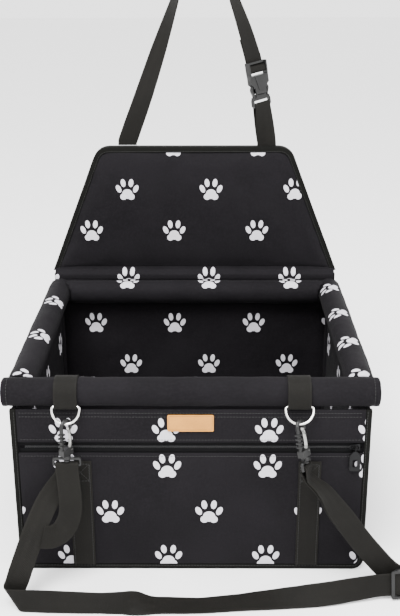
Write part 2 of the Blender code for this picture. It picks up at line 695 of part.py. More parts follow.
def ribbon_mesh(stations):
    """A loft of the webbing's cross-section along its stations.  A station
    in a fold has a third entry, the slanted line that the webbing bends about."""
    bm = bmesh.new()
    rings = []
    for index, (place, outward, *fold_line) in enumerate(stations):
        ahead = stations[min(index + 1, len(stations) - 1)][0]
        behind = stations[max(index - 1, 0)][0]
        along = (ahead - behind).normalized()
        normal = (outward - along * outward.dot(along)).normalized()
        across = along.cross(normal) * WEBBING_WIDTH / 2
        if fold_line:
            normal = outward
            across = fold_line[0] * math.copysign(1, fold_line[0].dot(across))
        depth = normal * WEBBING_THICKNESS / 2
        corners = (place - across - depth, place + across - depth, place + across + depth, place - across + depth)
        rings.append([bm.verts.new(corner) for corner in corners])
    for before, after in zip(rings, rings[1:]):
        for side in range(len(before)):
            following = (side + 1) % len(before)
            bm.faces.new((before[side], before[following], after[following], after[side]))
    bm.faces.new(rings[0])
    bm.faces.new(reversed(rings[-1]))
    return mesh_from(bm)


def wrap_stations(centre, axis, first, radius, sweep, steps, outer=True, advance=0):
    """Webbing round an axis, from the side that first points to.  The outer
    side faces away from the axis, or towards it, and the webbing may advance
    along the axis as it goes round."""
    stations = []
    for step in range(steps + 1):
        share = step / steps
        radial = Matrix.Rotation(sweep * share, 3, axis) @ first
        side = radial if outer else -radial
        stations.append((centre + radial * radius + axis * advance * share, side))
    return stations


def fold_stations(place, along, back, angle, radius):
    """A diagonal fold: webbing that arrives along a direction turns over
    to its back side and leaves at an angle to it, up the strap's own plane."""
    side_up = back.cross(along)
    if side_up.z < 0:
        side_up = -side_up
    axis = along * math.cos(angle / 2) + side_up * math.sin(angle / 2)
    advance = math.pi * radius / math.tan(angle / 2)
    centre = place + back * radius
    sweep = math.copysign(math.pi, axis.cross(-back).dot(along))
    fold_line = axis * WEBBING_WIDTH / 2 / math.sin(angle / 2)
    turn = wrap_stations(centre, axis, -back, radius, sweep, FOLD_STEPS, advance=advance)
    return [(*station, fold_line) for station in turn]


# Fabric box

def bottom_rounded(half, low, high, radius):
    corners = [(-half, low), (half, low), (half, high), (-half, high)]
    return rounded_outline(corners, [radius, radius, 0, 0])


def build_box():
    inner_front = WALL_FRONT - WALL_THICKNESS - SEAT_GAP
    cover_top = BOX_CORNER_RADIUS + BASE_COVER_RISE
    corners = [
        (-WALL_SIDE, cover_top), (-WALL_SIDE, 0), (WALL_SIDE, 0), (WALL_SIDE, cover_top),
        (WALL_SIDE - BASE_COVER_THICKNESS, cover_top),
        (WALL_SIDE - BASE_COVER_THICKNESS, BASE_COVER_THICKNESS),
        (BASE_COVER_THICKNESS - WALL_SIDE, BASE_COVER_THICKNESS),
        (BASE_COVER_THICKNESS - WALL_SIDE, cover_top),
    ]
    inner_radius = BOX_CORNER_RADIUS - BASE_COVER_THICKNESS
    outline = rounded_outline(corners, [0, BOX_CORNER_RADIUS, BOX_CORNER_RADIUS, 0, 0, inner_radius, inner_radius, 0])
    add_piece("base_cover", slab_mesh([outline], -inner_front, inner_front, FACING_FRONT), "printed_fabric")

    board_low = BASE_COVER_THICKNESS + SEAT_GAP
    board_half = WALL_SIDE - BOX_CORNER_RADIUS
    board_top = board_low + BASE_BOARD_THICKNESS
    board = rectangle(-board_half, board_half, -inner_front, inner_front, FLOOR_PAD_CORNER)
    add_piece("base_board", slab_mesh([board], board_low, board_top), "stiffener_board")
    pad_low = board_top + SEAT_GAP
    pad = rectangle(-board_half, board_half, -inner_front, inner_front, FLOOR_PAD_CORNER)
    pad_mesh = padded_mesh(
        pad, pad_low, pad_low + FLOOR_PAD_THICKNESS, FACING_UP, FLOOR_PAD_BORDER, FLOOR_PAD_CROWN,
    )
    add_piece("floor_pad", pad_mesh, "lining_fabric", smooth=True)

    end_wall = bottom_rounded(WALL_SIDE, 0, WALL_TOP, BOX_CORNER_RADIUS)
    front = padded_mesh(
        end_wall, WALL_FRONT - WALL_THICKNESS, WALL_FRONT, FACING_FRONT, WALL_BORDER, crown_in=WALL_CROWN,
    )
    add_piece("front_wall", front, "printed_fabric", smooth=True)
    back_top = CREASE_HEIGHT - CREASE_CORD_RADIUS - SEAT_GAP
    back_wall = bottom_rounded(WALL_SIDE, 0, back_top, BOX_CORNER_RADIUS)
    back = padded_mesh(
        back_wall, -WALL_FRONT, WALL_THICKNESS - WALL_FRONT, FACING_FRONT, WALL_BORDER + CROWN_RUN,
        crown_out=WALL_CROWN,
    )
    add_piece("back_wall", back, "printed_fabric", smooth=True)

    side_wall = rectangle(-inner_front, inner_front, cover_top + SEAT_GAP, WALL_TOP)
    for name, side in (("left_wall", -1), ("right_wall", 1)):
        ends = sorted((side * WALL_SIDE, side * (WALL_SIDE - WALL_THICKNESS)))
        crowns = (0, WALL_CROWN) if side > 0 else (WALL_CROWN, 0)
        mesh = padded_mesh(side_wall, *ends, FACING_RIGHT, WALL_BORDER, *crowns)
        add_piece(name, mesh, "printed_fabric", smooth=True)


def sleeve_profile(length):
    half = length / 2
    arc = arc_points((SLEEVE_RADIUS - SLEEVE_EDGE_ROUND, half - SLEEVE_EDGE_ROUND), SLEEVE_EDGE_ROUND,
                     math.pi / 2, 0, ARC_STEPS)
    groove_middle = half - SLEEVE_HEM_LENGTH
    groove = [
        (SLEEVE_RADIUS, groove_middle + SLEEVE_GROOVE_WIDTH / 2),
        (SLEEVE_RADIUS - SLEEVE_GROOVE_DEPTH, groove_middle),
        (SLEEVE_RADIUS, groove_middle - SLEEVE_GROOVE_WIDTH / 2),
    ]
    upper = [(SLEEVE_BORE_RADIUS, half)] + arc + groove
    return upper + [(radius, -height) for radius, height in reversed(upper)]


def plain_sleeve_profile(low, high):
    return [(SLEEVE_BORE_RADIUS, high), (SLEEVE_RADIUS, high), (SLEEVE_RADIUS, low), (SLEEVE_BORE_RADIUS, low)]


def tube_profile(low, high):
    bore = TUBE_RADIUS - TUBE_WALL
    return [
        (bore, high), (TUBE_RADIUS - TUBE_CHAMFER, high), (TUBE_RADIUS, high - TUBE_CHAMFER),
        (TUBE_RADIUS, low + TUBE_CHAMFER), (TUBE_RADIUS - TUBE_CHAMFER, low), (bore, low),
    ]


def build_rim(front_tube_axis):
    along_x = facing(Y_AXIS, Z_AXIS, FRONT_SLEEVE_CENTRE)
    turned_piece("front_sleeve", sleeve_profile(FRONT_SLEEVE_LENGTH), "printed_fabric", along_x, SLEEVE_STEPS)
    tube_half = FRONT_SLEEVE_LENGTH / 2 - TUBE_END_INSET
    tube = turned_piece(
        "front_support_tube", tube_profile(-tube_half, tube_half), "tube_plastic", along_x, TUBE_STEPS,
    )
    hang_on(tube, front_tube_axis)

    inner_back = WALL_FRONT - WALL_THICKNESS - SEAT_GAP
    seat_radius = SLEEVE_RADIUS + SEAT_GAP
    front_cope = rod_mesh(
        seat_radius, -FRONT_SLEEVE_LENGTH, FRONT_SLEEVE_LENGTH, X_AXIS, FRONT_SLEEVE_CENTRE, 2 * SLEEVE_STEPS,
    )
    side_low = FRONT_SLEEVE_Y + SLEEVE_COPE_START
    tube_low = FRONT_SLEEVE_Y + SLEEVE_RADIUS + SIDE_TUBE_END_INSET
    for name, side in (("left", -1), ("right", 1)):
        frame = facing(Z_AXIS, X_AXIS, (side * SIDE_SLEEVE_X, 0, SLEEVE_HEIGHT))
        sleeve = turned_piece(
            name + "_sleeve", plain_sleeve_profile(side_low, inner_back), "printed_fabric", frame, SLEEVE_STEPS,
        )
        cope = front_cope.copy()
        cope.transform(frame.inverted())
        cut(sleeve, cope)
        profile = tube_profile(tube_low, inner_back - SIDE_TUBE_END_INSET)
        turned_piece(name + "_support_tube", profile, "tube_plastic", frame, TUBE_STEPS)

    rear_half = SIDE_SLEEVE_X - SLEEVE_COPE_START
    rear_frame = facing(Y_AXIS, Z_AXIS, (0, REAR_SLEEVE_Y, SLEEVE_HEIGHT))
    rear = turned_piece(
        "rear_sleeve", plain_sleeve_profile(-rear_half, rear_half), "printed_fabric", rear_frame, SLEEVE_STEPS,
    )
    for side in (-1, 1):
        cope = rod_mesh(
            seat_radius, -BOX_DEPTH, BOX_DEPTH, Y_AXIS, (side * SIDE_SLEEVE_X, 0, SLEEVE_HEIGHT), 2 * SLEEVE_STEPS,
        )
        cope.transform(rear_frame.inverted())
        cut(rear, cope)
    tube_half = SIDE_SLEEVE_X - SLEEVE_RADIUS - SIDE_TUBE_END_INSET
    turned_piece("rear_support_tube", tube_profile(-tube_half, tube_half), "tube_plastic", rear_frame, TUBE_STEPS)


def build_bindings():
    outer_radius = BOX_CORNER_RADIUS + BINDING_PROUD
    inner_radius = outer_radius - BINDING_WIDTH
    rear_top = CREASE_HEIGHT - CREASE_CORD_RADIUS - SEAT_GAP
    front_depths = (WALL_FRONT + SEAT_GAP, WALL_FRONT + FRONT_BINDING_THICKNESS)
    rear_depths = (-WALL_FRONT - REAR_BINDING_THICKNESS, -WALL_FRONT - SEAT_GAP)
    for name, depths, top in (("front_binding", front_depths, WALL_TOP), ("rear_binding", rear_depths, rear_top)):
        corners = [
            (-BINDING_OUTER, top), (-BINDING_OUTER, 0), (BINDING_OUTER, 0), (BINDING_OUTER, top),
            (BINDING_INNER, top), (BINDING_INNER, BINDING_WIDTH), (-BINDING_INNER, BINDING_WIDTH),
            (-BINDING_INNER, top),
        ]
        outline = rounded_outline(corners, [0, outer_radius, outer_radius, 0, 0, inner_radius, inner_radius, 0])
        binding = add_piece(name, slab_mesh([outline], *depths, FACING_FRONT), "binding_tape")
        round_edges(binding, BINDING_ROUND)


# Front pocket with its zip

def zip_tape_outline(side):
    """A zip tape with its row of teeth, for the upper (+1) or the lower side."""
    half = ZIP_LENGTH / 2
    count = int((ZIP_LENGTH - 2 * TOOTH_END_MARGIN) / TOOTH_PITCH)
    first = -count * TOOTH_PITCH / 2 + (TOOTH_PITCH / 2 if side < 0 else 0)
    edge = [(half, side * TAPE_EDGE)]
    for index in reversed(range(count)):
        middle = first + index * TOOTH_PITCH
        low, high = middle - TOOTH_WIDTH / 2, middle + TOOTH_WIDTH / 2
        edge += [
            (high, side * TAPE_EDGE), (high, -side * TOOTH_REACH), (low, -side * TOOTH_REACH), (low, side * TAPE_EDGE),
        ]
    edge += [(-half, side * TAPE_EDGE), (-half, side * ZIP_TAPE_WIDTH), (half, side * ZIP_TAPE_WIDTH)]
    return edge


def build_pocket():
    band_low, band_high = ZIP_HEIGHT - ZIP_OPENING / 2, ZIP_HEIGHT + ZIP_OPENING / 2
    corner = BOX_CORNER_RADIUS + BINDING_PROUD - BINDING_WIDTH
    lower = bottom_rounded(POCKET_HALF, BINDING_WIDTH + SEAT_GAP, band_low, corner)
    add_piece("pocket_front", slab_mesh([lower], POCKET_BACK, POCKET_FACE, FACING_FRONT), "printed_fabric")
    upper = rectangle(-POCKET_HALF, POCKET_HALF, band_high, WALL_TOP)
    add_piece("pocket_top", slab_mesh([upper], POCKET_BACK, POCKET_FACE, FACING_FRONT), "printed_fabric")

    zip_frame = facing(X_AXIS, Z_AXIS, (0, 0, ZIP_HEIGHT))
    for name, side in (("zipper_tape_upper", 1), ("zipper_tape_lower", -1)):
        add_piece(name, slab_mesh([zip_tape_outline(side)], ZIP_BACK, ZIP_FACE, zip_frame), "zip_tape")

    label_face = SEWN_FACE + LABEL_THICKNESS
    label_frame = facing(X_AXIS, Z_AXIS, (0, 0, LABEL_CENTRE_HEIGHT))
    half_width, half_height = LABEL_WIDTH / 2, LABEL_HEIGHT / 2
    outline = rectangle(-half_width, half_width, -half_height, half_height, LABEL_CORNER)
    label = add_piece("label_patch", slab_mesh([outline], SEWN_FACE, label_face, label_frame), "label_leather")
    outer = rectangle(LABEL_BORDER - half_width, half_width - LABEL_BORDER,
                      LABEL_BORDER - half_height, half_height - LABEL_BORDER)
    inset = LABEL_BORDER + LABEL_GROOVE
    inner = rectangle(inset - half_width, half_width - inset, inset - half_height, half_height - inset)
    cut(label, slab_mesh([outer, inner], label_face - LABEL_GROOVE, label_face + CUT_OVERRUN, label_frame))

    band_face = SEWN_FACE + WEBBING_THICKNESS
    band_low = BINDING_WIDTH + SEAT_GAP
    for name, middle in (("left_webbing_band", LEFT_BAND_X), ("right_webbing_band", RIGHT_BAND_X)):
        outline = rectangle(middle - WEBBING_WIDTH / 2, middle + WEBBING_WIDTH / 2, band_low, BAND_TOP)
        add_piece(name, slab_mesh([outline], SEWN_FACE, band_face, FACING_FRONT), "strap_webbing")


def build_slider(slide_axis, puller_axis):
    frame = facing(X_AXIS, Z_AXIS, (SLIDER_X, 0, ZIP_HEIGHT))
    half, waist = SLIDER_LENGTH / 2, SLIDER_WAIST / 2
    plate = rounded_outline(
        [(-half, -waist), (half, -SLIDER_HEIGHT / 2), (half, SLIDER_HEIGHT / 2), (-half, waist)],
        [waist / 2, waist / 2, waist / 2, waist / 2],
    )
    back = ZIP_BACK - SEAT_GAP - SLIDER_PLATE
    face = ZIP_FACE + SEAT_GAP
    slider = add_piece("zipper_slider", slab_mesh([plate], face, SLIDER_FACE, frame), "dark_metal")
    join(slider, slab_mesh([plate], back, back + SLIDER_PLATE, frame))
    neck_x = SLIDER_X + half - 2 * SLIDER_NECK_RADIUS
    middle = back + SLIDER_PLATE / 2
    join(slider, rod_mesh(SLIDER_NECK_RADIUS, middle, face + SLIDER_PLATE / 2, -Y_AXIS, (neck_x, 0, ZIP_HEIGHT)))
    foot = -SLIDER_FACE + SLIDER_PLATE / 2
    crest = PULLER_AXIS.y
    bend = BRIDGE_RISE / 3
    bridge = [
        (SLIDER_X - BRIDGE_HALF_LENGTH, foot, ZIP_HEIGHT), (SLIDER_X - BRIDGE_HALF_LENGTH, crest + bend, ZIP_HEIGHT),
        (SLIDER_X - BRIDGE_HALF_LENGTH + bend, crest, ZIP_HEIGHT),
        (SLIDER_X + BRIDGE_HALF_LENGTH - bend, crest, ZIP_HEIGHT),
        (SLIDER_X + BRIDGE_HALF_LENGTH, crest + bend, ZIP_HEIGHT), (SLIDER_X + BRIDGE_HALF_LENGTH, foot, ZIP_HEIGHT),
    ]
    join(slider, wire_mesh(bridge, BRIDGE_WIRE))
    hang_on(slider, slide_axis)

    ring_drop = PULLER_EYE_RADIUS - PULLER_EYE_WIRE - BRIDGE_WIRE - SEAT_GAP
    ring_centre = PULLER_AXIS - Z_AXIS * ring_drop
    ring = [(0, y, z) for y, z in arc_points((0, 0), PULLER_EYE_RADIUS, 0, math.tau, ROD_STEPS)[:-1]]
    pull_frame = facing(X_AXIS, Z_AXIS, ring_centre)
    top = -PULLER_EYE_RADIUS
    neck, body, slot = PULLER_NECK_WIDTH / 2, PULLER_WIDTH / 2, PULLER_SLOT_WIDTH / 2
    low = top - PULLER_LENGTH
    outline = rounded_outline(
        [(-body, low), (body, low), (body, top - PULLER_SHOULDER), (neck, top), (-neck, top),
         (-body, top - PULLER_SHOULDER)],
        [body / 2, body / 2, neck, 0, 0, neck],
    )
    hole = rectangle(-slot, slot, low + PULLER_SLOT_LOW, low + PULLER_SLOT_HIGH, slot / 2)
    depth = PULLER_THICKNESS / 2
    puller = add_piece("zipper_puller", slab_mesh([outline, hole], -depth, depth), "dark_metal", pull_frame)
    ring_mesh = wire_mesh(ring, PULLER_EYE_WIRE, closed=True)
    ring_mesh.transform(pull_frame.inverted() @ Matrix.Translation(ring_centre))
    join(puller, ring_mesh)
    hang_on(puller, puller_axis)


# Rings, loops and snap hooks

def front_angle(angle):
    """The direction at an angle from straight up, turning to the front."""
    return Vector((0, -math.sin(angle), math.cos(angle)))


def build_ring_loop(name, place):
    """Webbing from the inner seam over the sleeve, round the ring's bar and back up."""
    centre = FRONT_SLEEVE_CENTRE + X_AXIS * place
    bar = Vector((place, RING_BAR_Y, RING_BAR_HEIGHT))
    bar_angle = math.pi / 2 + math.asin(RING_BAR_DROP / RING_REACH)
    leave = bar_angle - math.acos((LOOP_OUTER_RADIUS - RING_WRAP_RADIUS) / RING_REACH)
    stations = wrap_stations(
        centre, X_AXIS, front_angle(LOOP_INNER_END), LOOP_RADIUS, bar_angle - LOOP_INNER_END, 2 * WRAP_STEPS,
    )[:-1]
    round_bar = bar_angle + math.pi - leave
    stations += wrap_stations(
        bar, X_AXIS, front_angle(bar_angle + math.pi), RING_WRAP_RADIUS, -round_bar, WRAP_STEPS, outer=False,
    )
    back_up = wrap_stations(
        centre, X_AXIS, front_angle(leave), LOOP_OUTER_RADIUS, LOOP_OUTER_END - leave, ARC_STEPS, outer=False,
    )
    add_piece(name, ribbon_mesh(stations + back_up), "strap_webbing")


def ring_points():
    side = RING_INNER_WIDTH / 2 + RING_WIRE_RADIUS
    corner = side - RING_CORNER
    points = arc_points((corner, -RING_CORNER), RING_CORNER, math.pi / 2, 0, 3)
    points += arc_points((0, side - RING_DROP), side, 0, -math.pi, 2 * WRAP_STEPS)
    points += arc_points((-corner, -RING_CORNER), RING_CORNER, math.pi, math.pi / 2, 3)
    return [(a, 0, b) for a, b in points]


def hook_frame(origin, lean_side, lean_out, turn):
    lean = Matrix.Rotation(-lean_out, 4, "X") @ Matrix.Rotation(-lean_side, 4, "Y")
    return Matrix.Translation(origin) @ lean @ Matrix.Rotation(turn, 4, "Z")


def build_hook(name, frame, carrier):
    bow_end = HOOK_BOW_CENTRE - HOOK_NOSE_LENGTH
    foot = HOOK_BASE_TOP - HOOK_BASE_ROUND
    bow = arc_points((0, HOOK_BOW_CENTRE), HOOK_SIDE, math.pi, 0, 2 * ARC_STEPS)
    path = [(-HOOK_SIDE, 0, foot)] + [(a, 0, b) for a, b in bow] + [(HOOK_SIDE, 0, bow_end)]
    half_width, half_depth = HOOK_BASE_WIDTH / 2, HOOK_BASE_DEPTH / 2
    base_outline = rectangle(-half_width - HOOK_BASE_ROUND, half_width, -HOOK_LENGTH, HOOK_BASE_TOP, HOOK_BASE_ROUND)
    side_frame = facing(X_AXIS, Z_AXIS)
    hook = add_piece(name, slab_mesh([base_outline], -half_depth, half_depth, side_frame), "black_plastic", frame)
    join(hook, wire_mesh(path, HOOK_WIRE_RADIUS))
    rib_half = HOOK_RIB_WIDTH / 2
    for index in range(HOOK_RIB_COUNT):
        middle = HOOK_BASE_TOP + HOOK_RIB_PITCH * (index + 1)
        low = (-HOOK_SIDE - rib_half, -rib_half, middle - HOOK_RIB_HEIGHT / 2)
        join(hook, block_mesh(low, (rib_half - HOOK_SIDE, rib_half, middle + HOOK_RIB_HEIGHT / 2)))
    slot_half = GATE_WIDTH / 2 + SEAT_GAP
    reach = GATE_BOSS_RADIUS + 2 * SEAT_GAP
    slot_low = (GATE_PIN_SIDE - reach, -slot_half, GATE_PIN_HEIGHT - reach)
    cut(hook, block_mesh(slot_low, (half_width + CUT_OVERRUN, slot_half, HOOK_BASE_TOP + CUT_OVERRUN)))
    pin_reach = half_depth + CUT_OVERRUN
    pin_centre = (GATE_PIN_SIDE, 0, GATE_PIN_HEIGHT)
    cut(hook, rod_mesh(GATE_PIN_RADIUS + SEAT_GAP, -pin_reach, pin_reach, Y_AXIS, pin_centre))
    flange_top = WINDOW_TOP - SEAT_GAP
    join(hook, rod_mesh(HOOK_STEM_RADIUS, flange_top - HOOK_FLANGE_THICKNESS / 2, HOOK_BASE_ROUND - HOOK_LENGTH))
    join(hook, rod_mesh(HOOK_FLANGE_RADIUS, flange_top - HOOK_FLANGE_THICKNESS, flange_top))
    hang_on(hook, carrier)


def build_gate(name, frame, carrier):
    """The sprung gate, curved, with its pin in the hook's base."""
    nose_low = HOOK_BOW_CENTRE - HOOK_NOSE_LENGTH
    top_side = HOOK_SIDE - HOOK_WIRE_RADIUS - SEAT_GAP - GATE_HALF_THICKNESS
    height = nose_low + HOOK_WIRE_RADIUS - GATE_PIN_HEIGHT
    rise_shares = (0, 0.2, 0.45, 0.7, 0.9, 1)
    bulge_shares = (0, 0.8, 1, 0.75, 0, 0)
    lean = top_side - GATE_PIN_SIDE
    centres = [
        (GATE_PIN_SIDE + lean * rise + GATE_BULGE * bulge, GATE_PIN_HEIGHT + height * rise)
        for rise, bulge in zip(rise_shares, bulge_shares)
    ]
    outline = strip_outline(centres, [GATE_HALF_THICKNESS] * len(centres))
    gate = add_piece(
        name, slab_mesh([outline], -GATE_WIDTH / 2, GATE_WIDTH / 2, facing(X_AXIS, Z_AXIS)), "nickel_steel", frame,
    )
    pin_centre = (GATE_PIN_SIDE, 0, GATE_PIN_HEIGHT)
    boss_half = GATE_WIDTH / 2 - GATE_BOSS_INSET
    join(gate, rod_mesh(GATE_BOSS_RADIUS, -boss_half, boss_half, Y_AXIS, pin_centre))
    join(gate, rod_mesh(GATE_PIN_RADIUS, -HOOK_BASE_DEPTH / 2, HOOK_BASE_DEPTH / 2, Y_AXIS, pin_centre))
    hang_on(gate, carrier)


def build_eye(name, frame, carrier):
    """The swivel eye: a collar on a frame with a window for the webbing."""
    inner = EYE_INNER_WIDTH / 2
    outer = inner + EYE_RAIL_WIDTH
    top = WINDOW_TOP + EYE_TOP_BAR
    low = WINDOW_LOW - 2 * EYE_BAR_RADIUS
    outline = rounded_outline(
        [(-outer, low), (outer, low), (outer, top), (-outer, top)],
        [EYE_RAIL_WIDTH, EYE_RAIL_WIDTH, EYE_TOP_BAR - SEAT_GAP, EYE_TOP_BAR - SEAT_GAP],
    )
    window = rectangle(-inner, inner, WINDOW_LOW, WINDOW_TOP)
    eye = add_piece(
        name, slab_mesh([outline, window], -EYE_BAR_RADIUS, EYE_BAR_RADIUS, facing(X_AXIS, Z_AXIS)),
        "black_plastic", frame,
    )
    round_edges(eye, EYE_BAR_ROUND)
    join(eye, rod_mesh(EYE_COLLAR_RADIUS, WINDOW_TOP + EYE_BAR_ROUND, COLLAR_TOP, steps=TUBE_STEPS))
    bore = HOOK_STEM_RADIUS + SEAT_GAP
    cut(eye, rod_mesh(bore, WINDOW_TOP - EYE_WINDOW_HEIGHT / 2, COLLAR_TOP + CUT_OVERRUN, steps=TUBE_STEPS))
    hang_on(eye, carrier)


def build_hook_set(side, place, tilt, lean_side, lean_out, eye_turn):
    """One ring with its loop, snap hook, gate and swivel eye.  Returns the
    frame of the eye, whose bar the strap goes round."""
    build_ring_loop(side + "_ring_loop", place)
    bar = Vector((place, RING_BAR_Y, RING_BAR_HEIGHT))
    ring_axis = axis_empty(side + "_ring_axis", bar)
    ring_frame = Matrix.Translation(bar) @ Matrix.Rotation(-tilt, 4, "X")
    ring = add_piece(
        side + "_ring", wire_mesh(ring_points(), RING_WIRE_RADIUS, closed=True), "nickel_steel", ring_frame, True,
    )
    hang_on(ring, ring_axis)
    hung = ring_frame @ Vector((0, 0, -RING_DROP))
    eye_frame = hook_frame(hung, lean_side, lean_out, eye_turn)
    build_eye(side + "_swivel_eye", eye_frame, ring_axis)
    frame = hook_frame(hung, lean_side, lean_out, HOOK_TURN)
    hook_axis = axis_empty(side + "_hook_axis", frame @ Vector((0, 0, -HOOK_LENGTH)), ring_axis)
    build_hook(side + "_snap_hook", frame, hook_axis)
    gate_axis = axis_empty(side + "_gate_axis", frame @ Vector((GATE_PIN_SIDE, 0, GATE_PIN_HEIGHT)), hook_axis)
    build_gate(side + "_hook_gate", frame, gate_axis)
    return eye_frame


# Shoulder strap and adjuster

def leaning(lean):
    """The facing direction of webbing that stands on its lower edge and leans back."""
    return Vector((0, -math.sin(lean), math.cos(lean)))


def millimetre_stations(route, origin=(0, 0, 0)):
    return [(Vector(origin) + Vector(place) * MM, Vector(outward).normalized()) for place, outward in route]


def hung_stations(route, eye_frame, drawn_height, low_end):
    """Stations of a stretch that hangs from an eye.  Its places are drawn for
    one height of the eye's bar, and rise and sink with it, save at the low end."""
    bar = eye_frame @ Vector((0, 0, EYE_BAR_HEIGHT))
    share = (bar.z - low_end) / (drawn_height - low_end)
    stations = millimetre_stations(route)
    return [(Vector((place.x, place.y, low_end + (place.z - low_end) * share)), outward)
            for place, outward in stations]


def raised(station):
    """A station of the run, given its lift, with the height of its centre."""
    place, outward = station
    upright = math.sqrt(max(0, 1 - outward.z ** 2))
    height = WEBBING_WIDTH / 2 * upright + WEBBING_THICKNESS / 2 * outward.z
    return place + Z_AXIS * height, outward


def facing_stations(stations):
    """Stations of place and facing direction, from places and width directions."""
    result = []
    for index, (place, across) in enumerate(stations):
        ahead = stations[min(index + 1, len(stations) - 1)][0]
        along = (ahead - stations[max(index - 1, 0)][0]).normalized()
        result.append((place, along.cross(across).normalized()))
    return result


def offset_stations(stations, distance):
    """Stations of a ply beside another, moved along its facing direction."""
    return [(place + outward * distance, outward) for place, outward in stations]


def turned_over(stations):
    return [(place, -outward) for place, outward in stations]


def eye_wrap(eye_frame, start, end, steps, before=0, after=0):
    """Webbing round the bar of an eye, between angles from the back to the
    front, with straight lengths before and after it."""
    bar = eye_frame @ Vector((0, 0, EYE_BAR_HEIGHT))
    turn = eye_frame.to_3x3()
    first = turn @ Vector((0, math.cos(start), math.sin(start)))
    stations = wrap_stations(bar, turn @ X_AXIS, first, EYE_WRAP_RADIUS, end - start, steps)
    down = -(turn @ Z_AXIS)
    if before > 0:
        stations.insert(0, (stations[0][0] + down * before, stations[0][1]))
    if after > 0:
        stations.append((stations[-1][0] + down * after, stations[-1][1]))
    return stations


def adjuster_frame():
    along = Vector((RUN_END.x - ADJUSTER_PLACE.x, RUN_END.y - ADJUSTER_PLACE.y, 0)).normalized()
    outward = leaning(RUN_LEAN)
    outward = (outward - along * outward.dot(along)).normalized()
    place, outward = raised((ADJUSTER_PLACE, outward))
    return facing(along, outward.cross(along), place)


def build_shoulder_strap(left_eye, right_eye):
    run = [(RUN_START, leaning(RUN_START_LEAN))]
    run += [(Vector(place) * MM, leaning(math.radians(lean))) for place, lean in RUN_ROUTE]
    run += [(ADJUSTER_PLACE, leaning(RUN_LEAN)), (RUN_END, leaning(RUN_LEAN))]
    run = [raised(station) for station in smooth_stations(run)]
    start, outward = run[0]
    along = (run[1][0] - start).normalized()
    outward = (outward - along * outward.dot(along)).normalized()
    fold = fold_stations(start, -along, -outward, FOLD_ANGLE, FOLD_RADIUS)
    low_end = fold[-1][0].z
    before_fold = hung_stations(SEWN_END_ROUTE, left_eye, LEFT_EYE_DRAWN, low_end)
    before_fold += eye_wrap(left_eye, math.pi, 0, WRAP_STEPS, EYE_LEAD, EYE_LEAD)
    before_fold += hung_stations(BACK_PLY_ROUTE, left_eye, LEFT_EYE_DRAWN, low_end) + fold[::-1]
    add_piece("shoulder_strap", ribbon_mesh(smooth_stations(before_fold) + run[1:]), "strap_webbing")

    frame = adjuster_frame()
    turn = frame.to_3x3()
    along, side_up, front = turn @ X_AXIS, turn @ Y_AXIS, turn @ Z_AXIS
    end = run[-1][0]
    turn_centre = end + along * TURN_LEAD - front * TURN_RADIUS
    strand = facing_stations(smooth_stations(hung_stations(STRAND_ROUTE, right_eye, RIGHT_EYE_DRAWN, end.z)))
    split = SEAT_GAP / EYE_WRAP_RADIUS

    outer_turn = wrap_stations(turn_centre, side_up, front, TURN_RADIUS, math.pi, WRAP_STEPS)
    outer_strand = turned_over(offset_stations(strand, -PLY_SPACING / 2))[::-1]
    outer = [(end + along * SEAT_GAP, front)] + outer_turn + outer_strand
    outer += eye_wrap(right_eye, 0, math.pi / 2 - split, WRAP_STEPS // 2, before=EYE_LEAD)
    add_piece("adjuster_loop_outer", ribbon_mesh(smooth_stations(outer)), "strap_webbing")

    inner_turn = wrap_stations(
        turn_centre, side_up, front, TURN_RADIUS - PLY_SPACING, math.pi, WRAP_STEPS, outer=False,
    )
    bar_side = PLY_SPACING + ADJUSTER_WRAP_RADIUS
    bar = frame @ Vector((0, 0, -bar_side))
    bar_wrap = wrap_stations(bar, side_up, front, ADJUSTER_WRAP_RADIUS, -math.pi, WRAP_STEPS, outer=False)
    tail_end = bar_wrap[-1][0] + along * TAIL_LENGTH
    inner = eye_wrap(right_eye, math.pi / 2 + split, math.pi, WRAP_STEPS // 2, after=EYE_LEAD)
    inner += offset_stations(strand, PLY_SPACING / 2) + inner_turn[::-1] + bar_wrap + [(tail_end, front)]
    add_piece("adjuster_loop_inner", ribbon_mesh(smooth_stations(inner)), "strap_webbing")


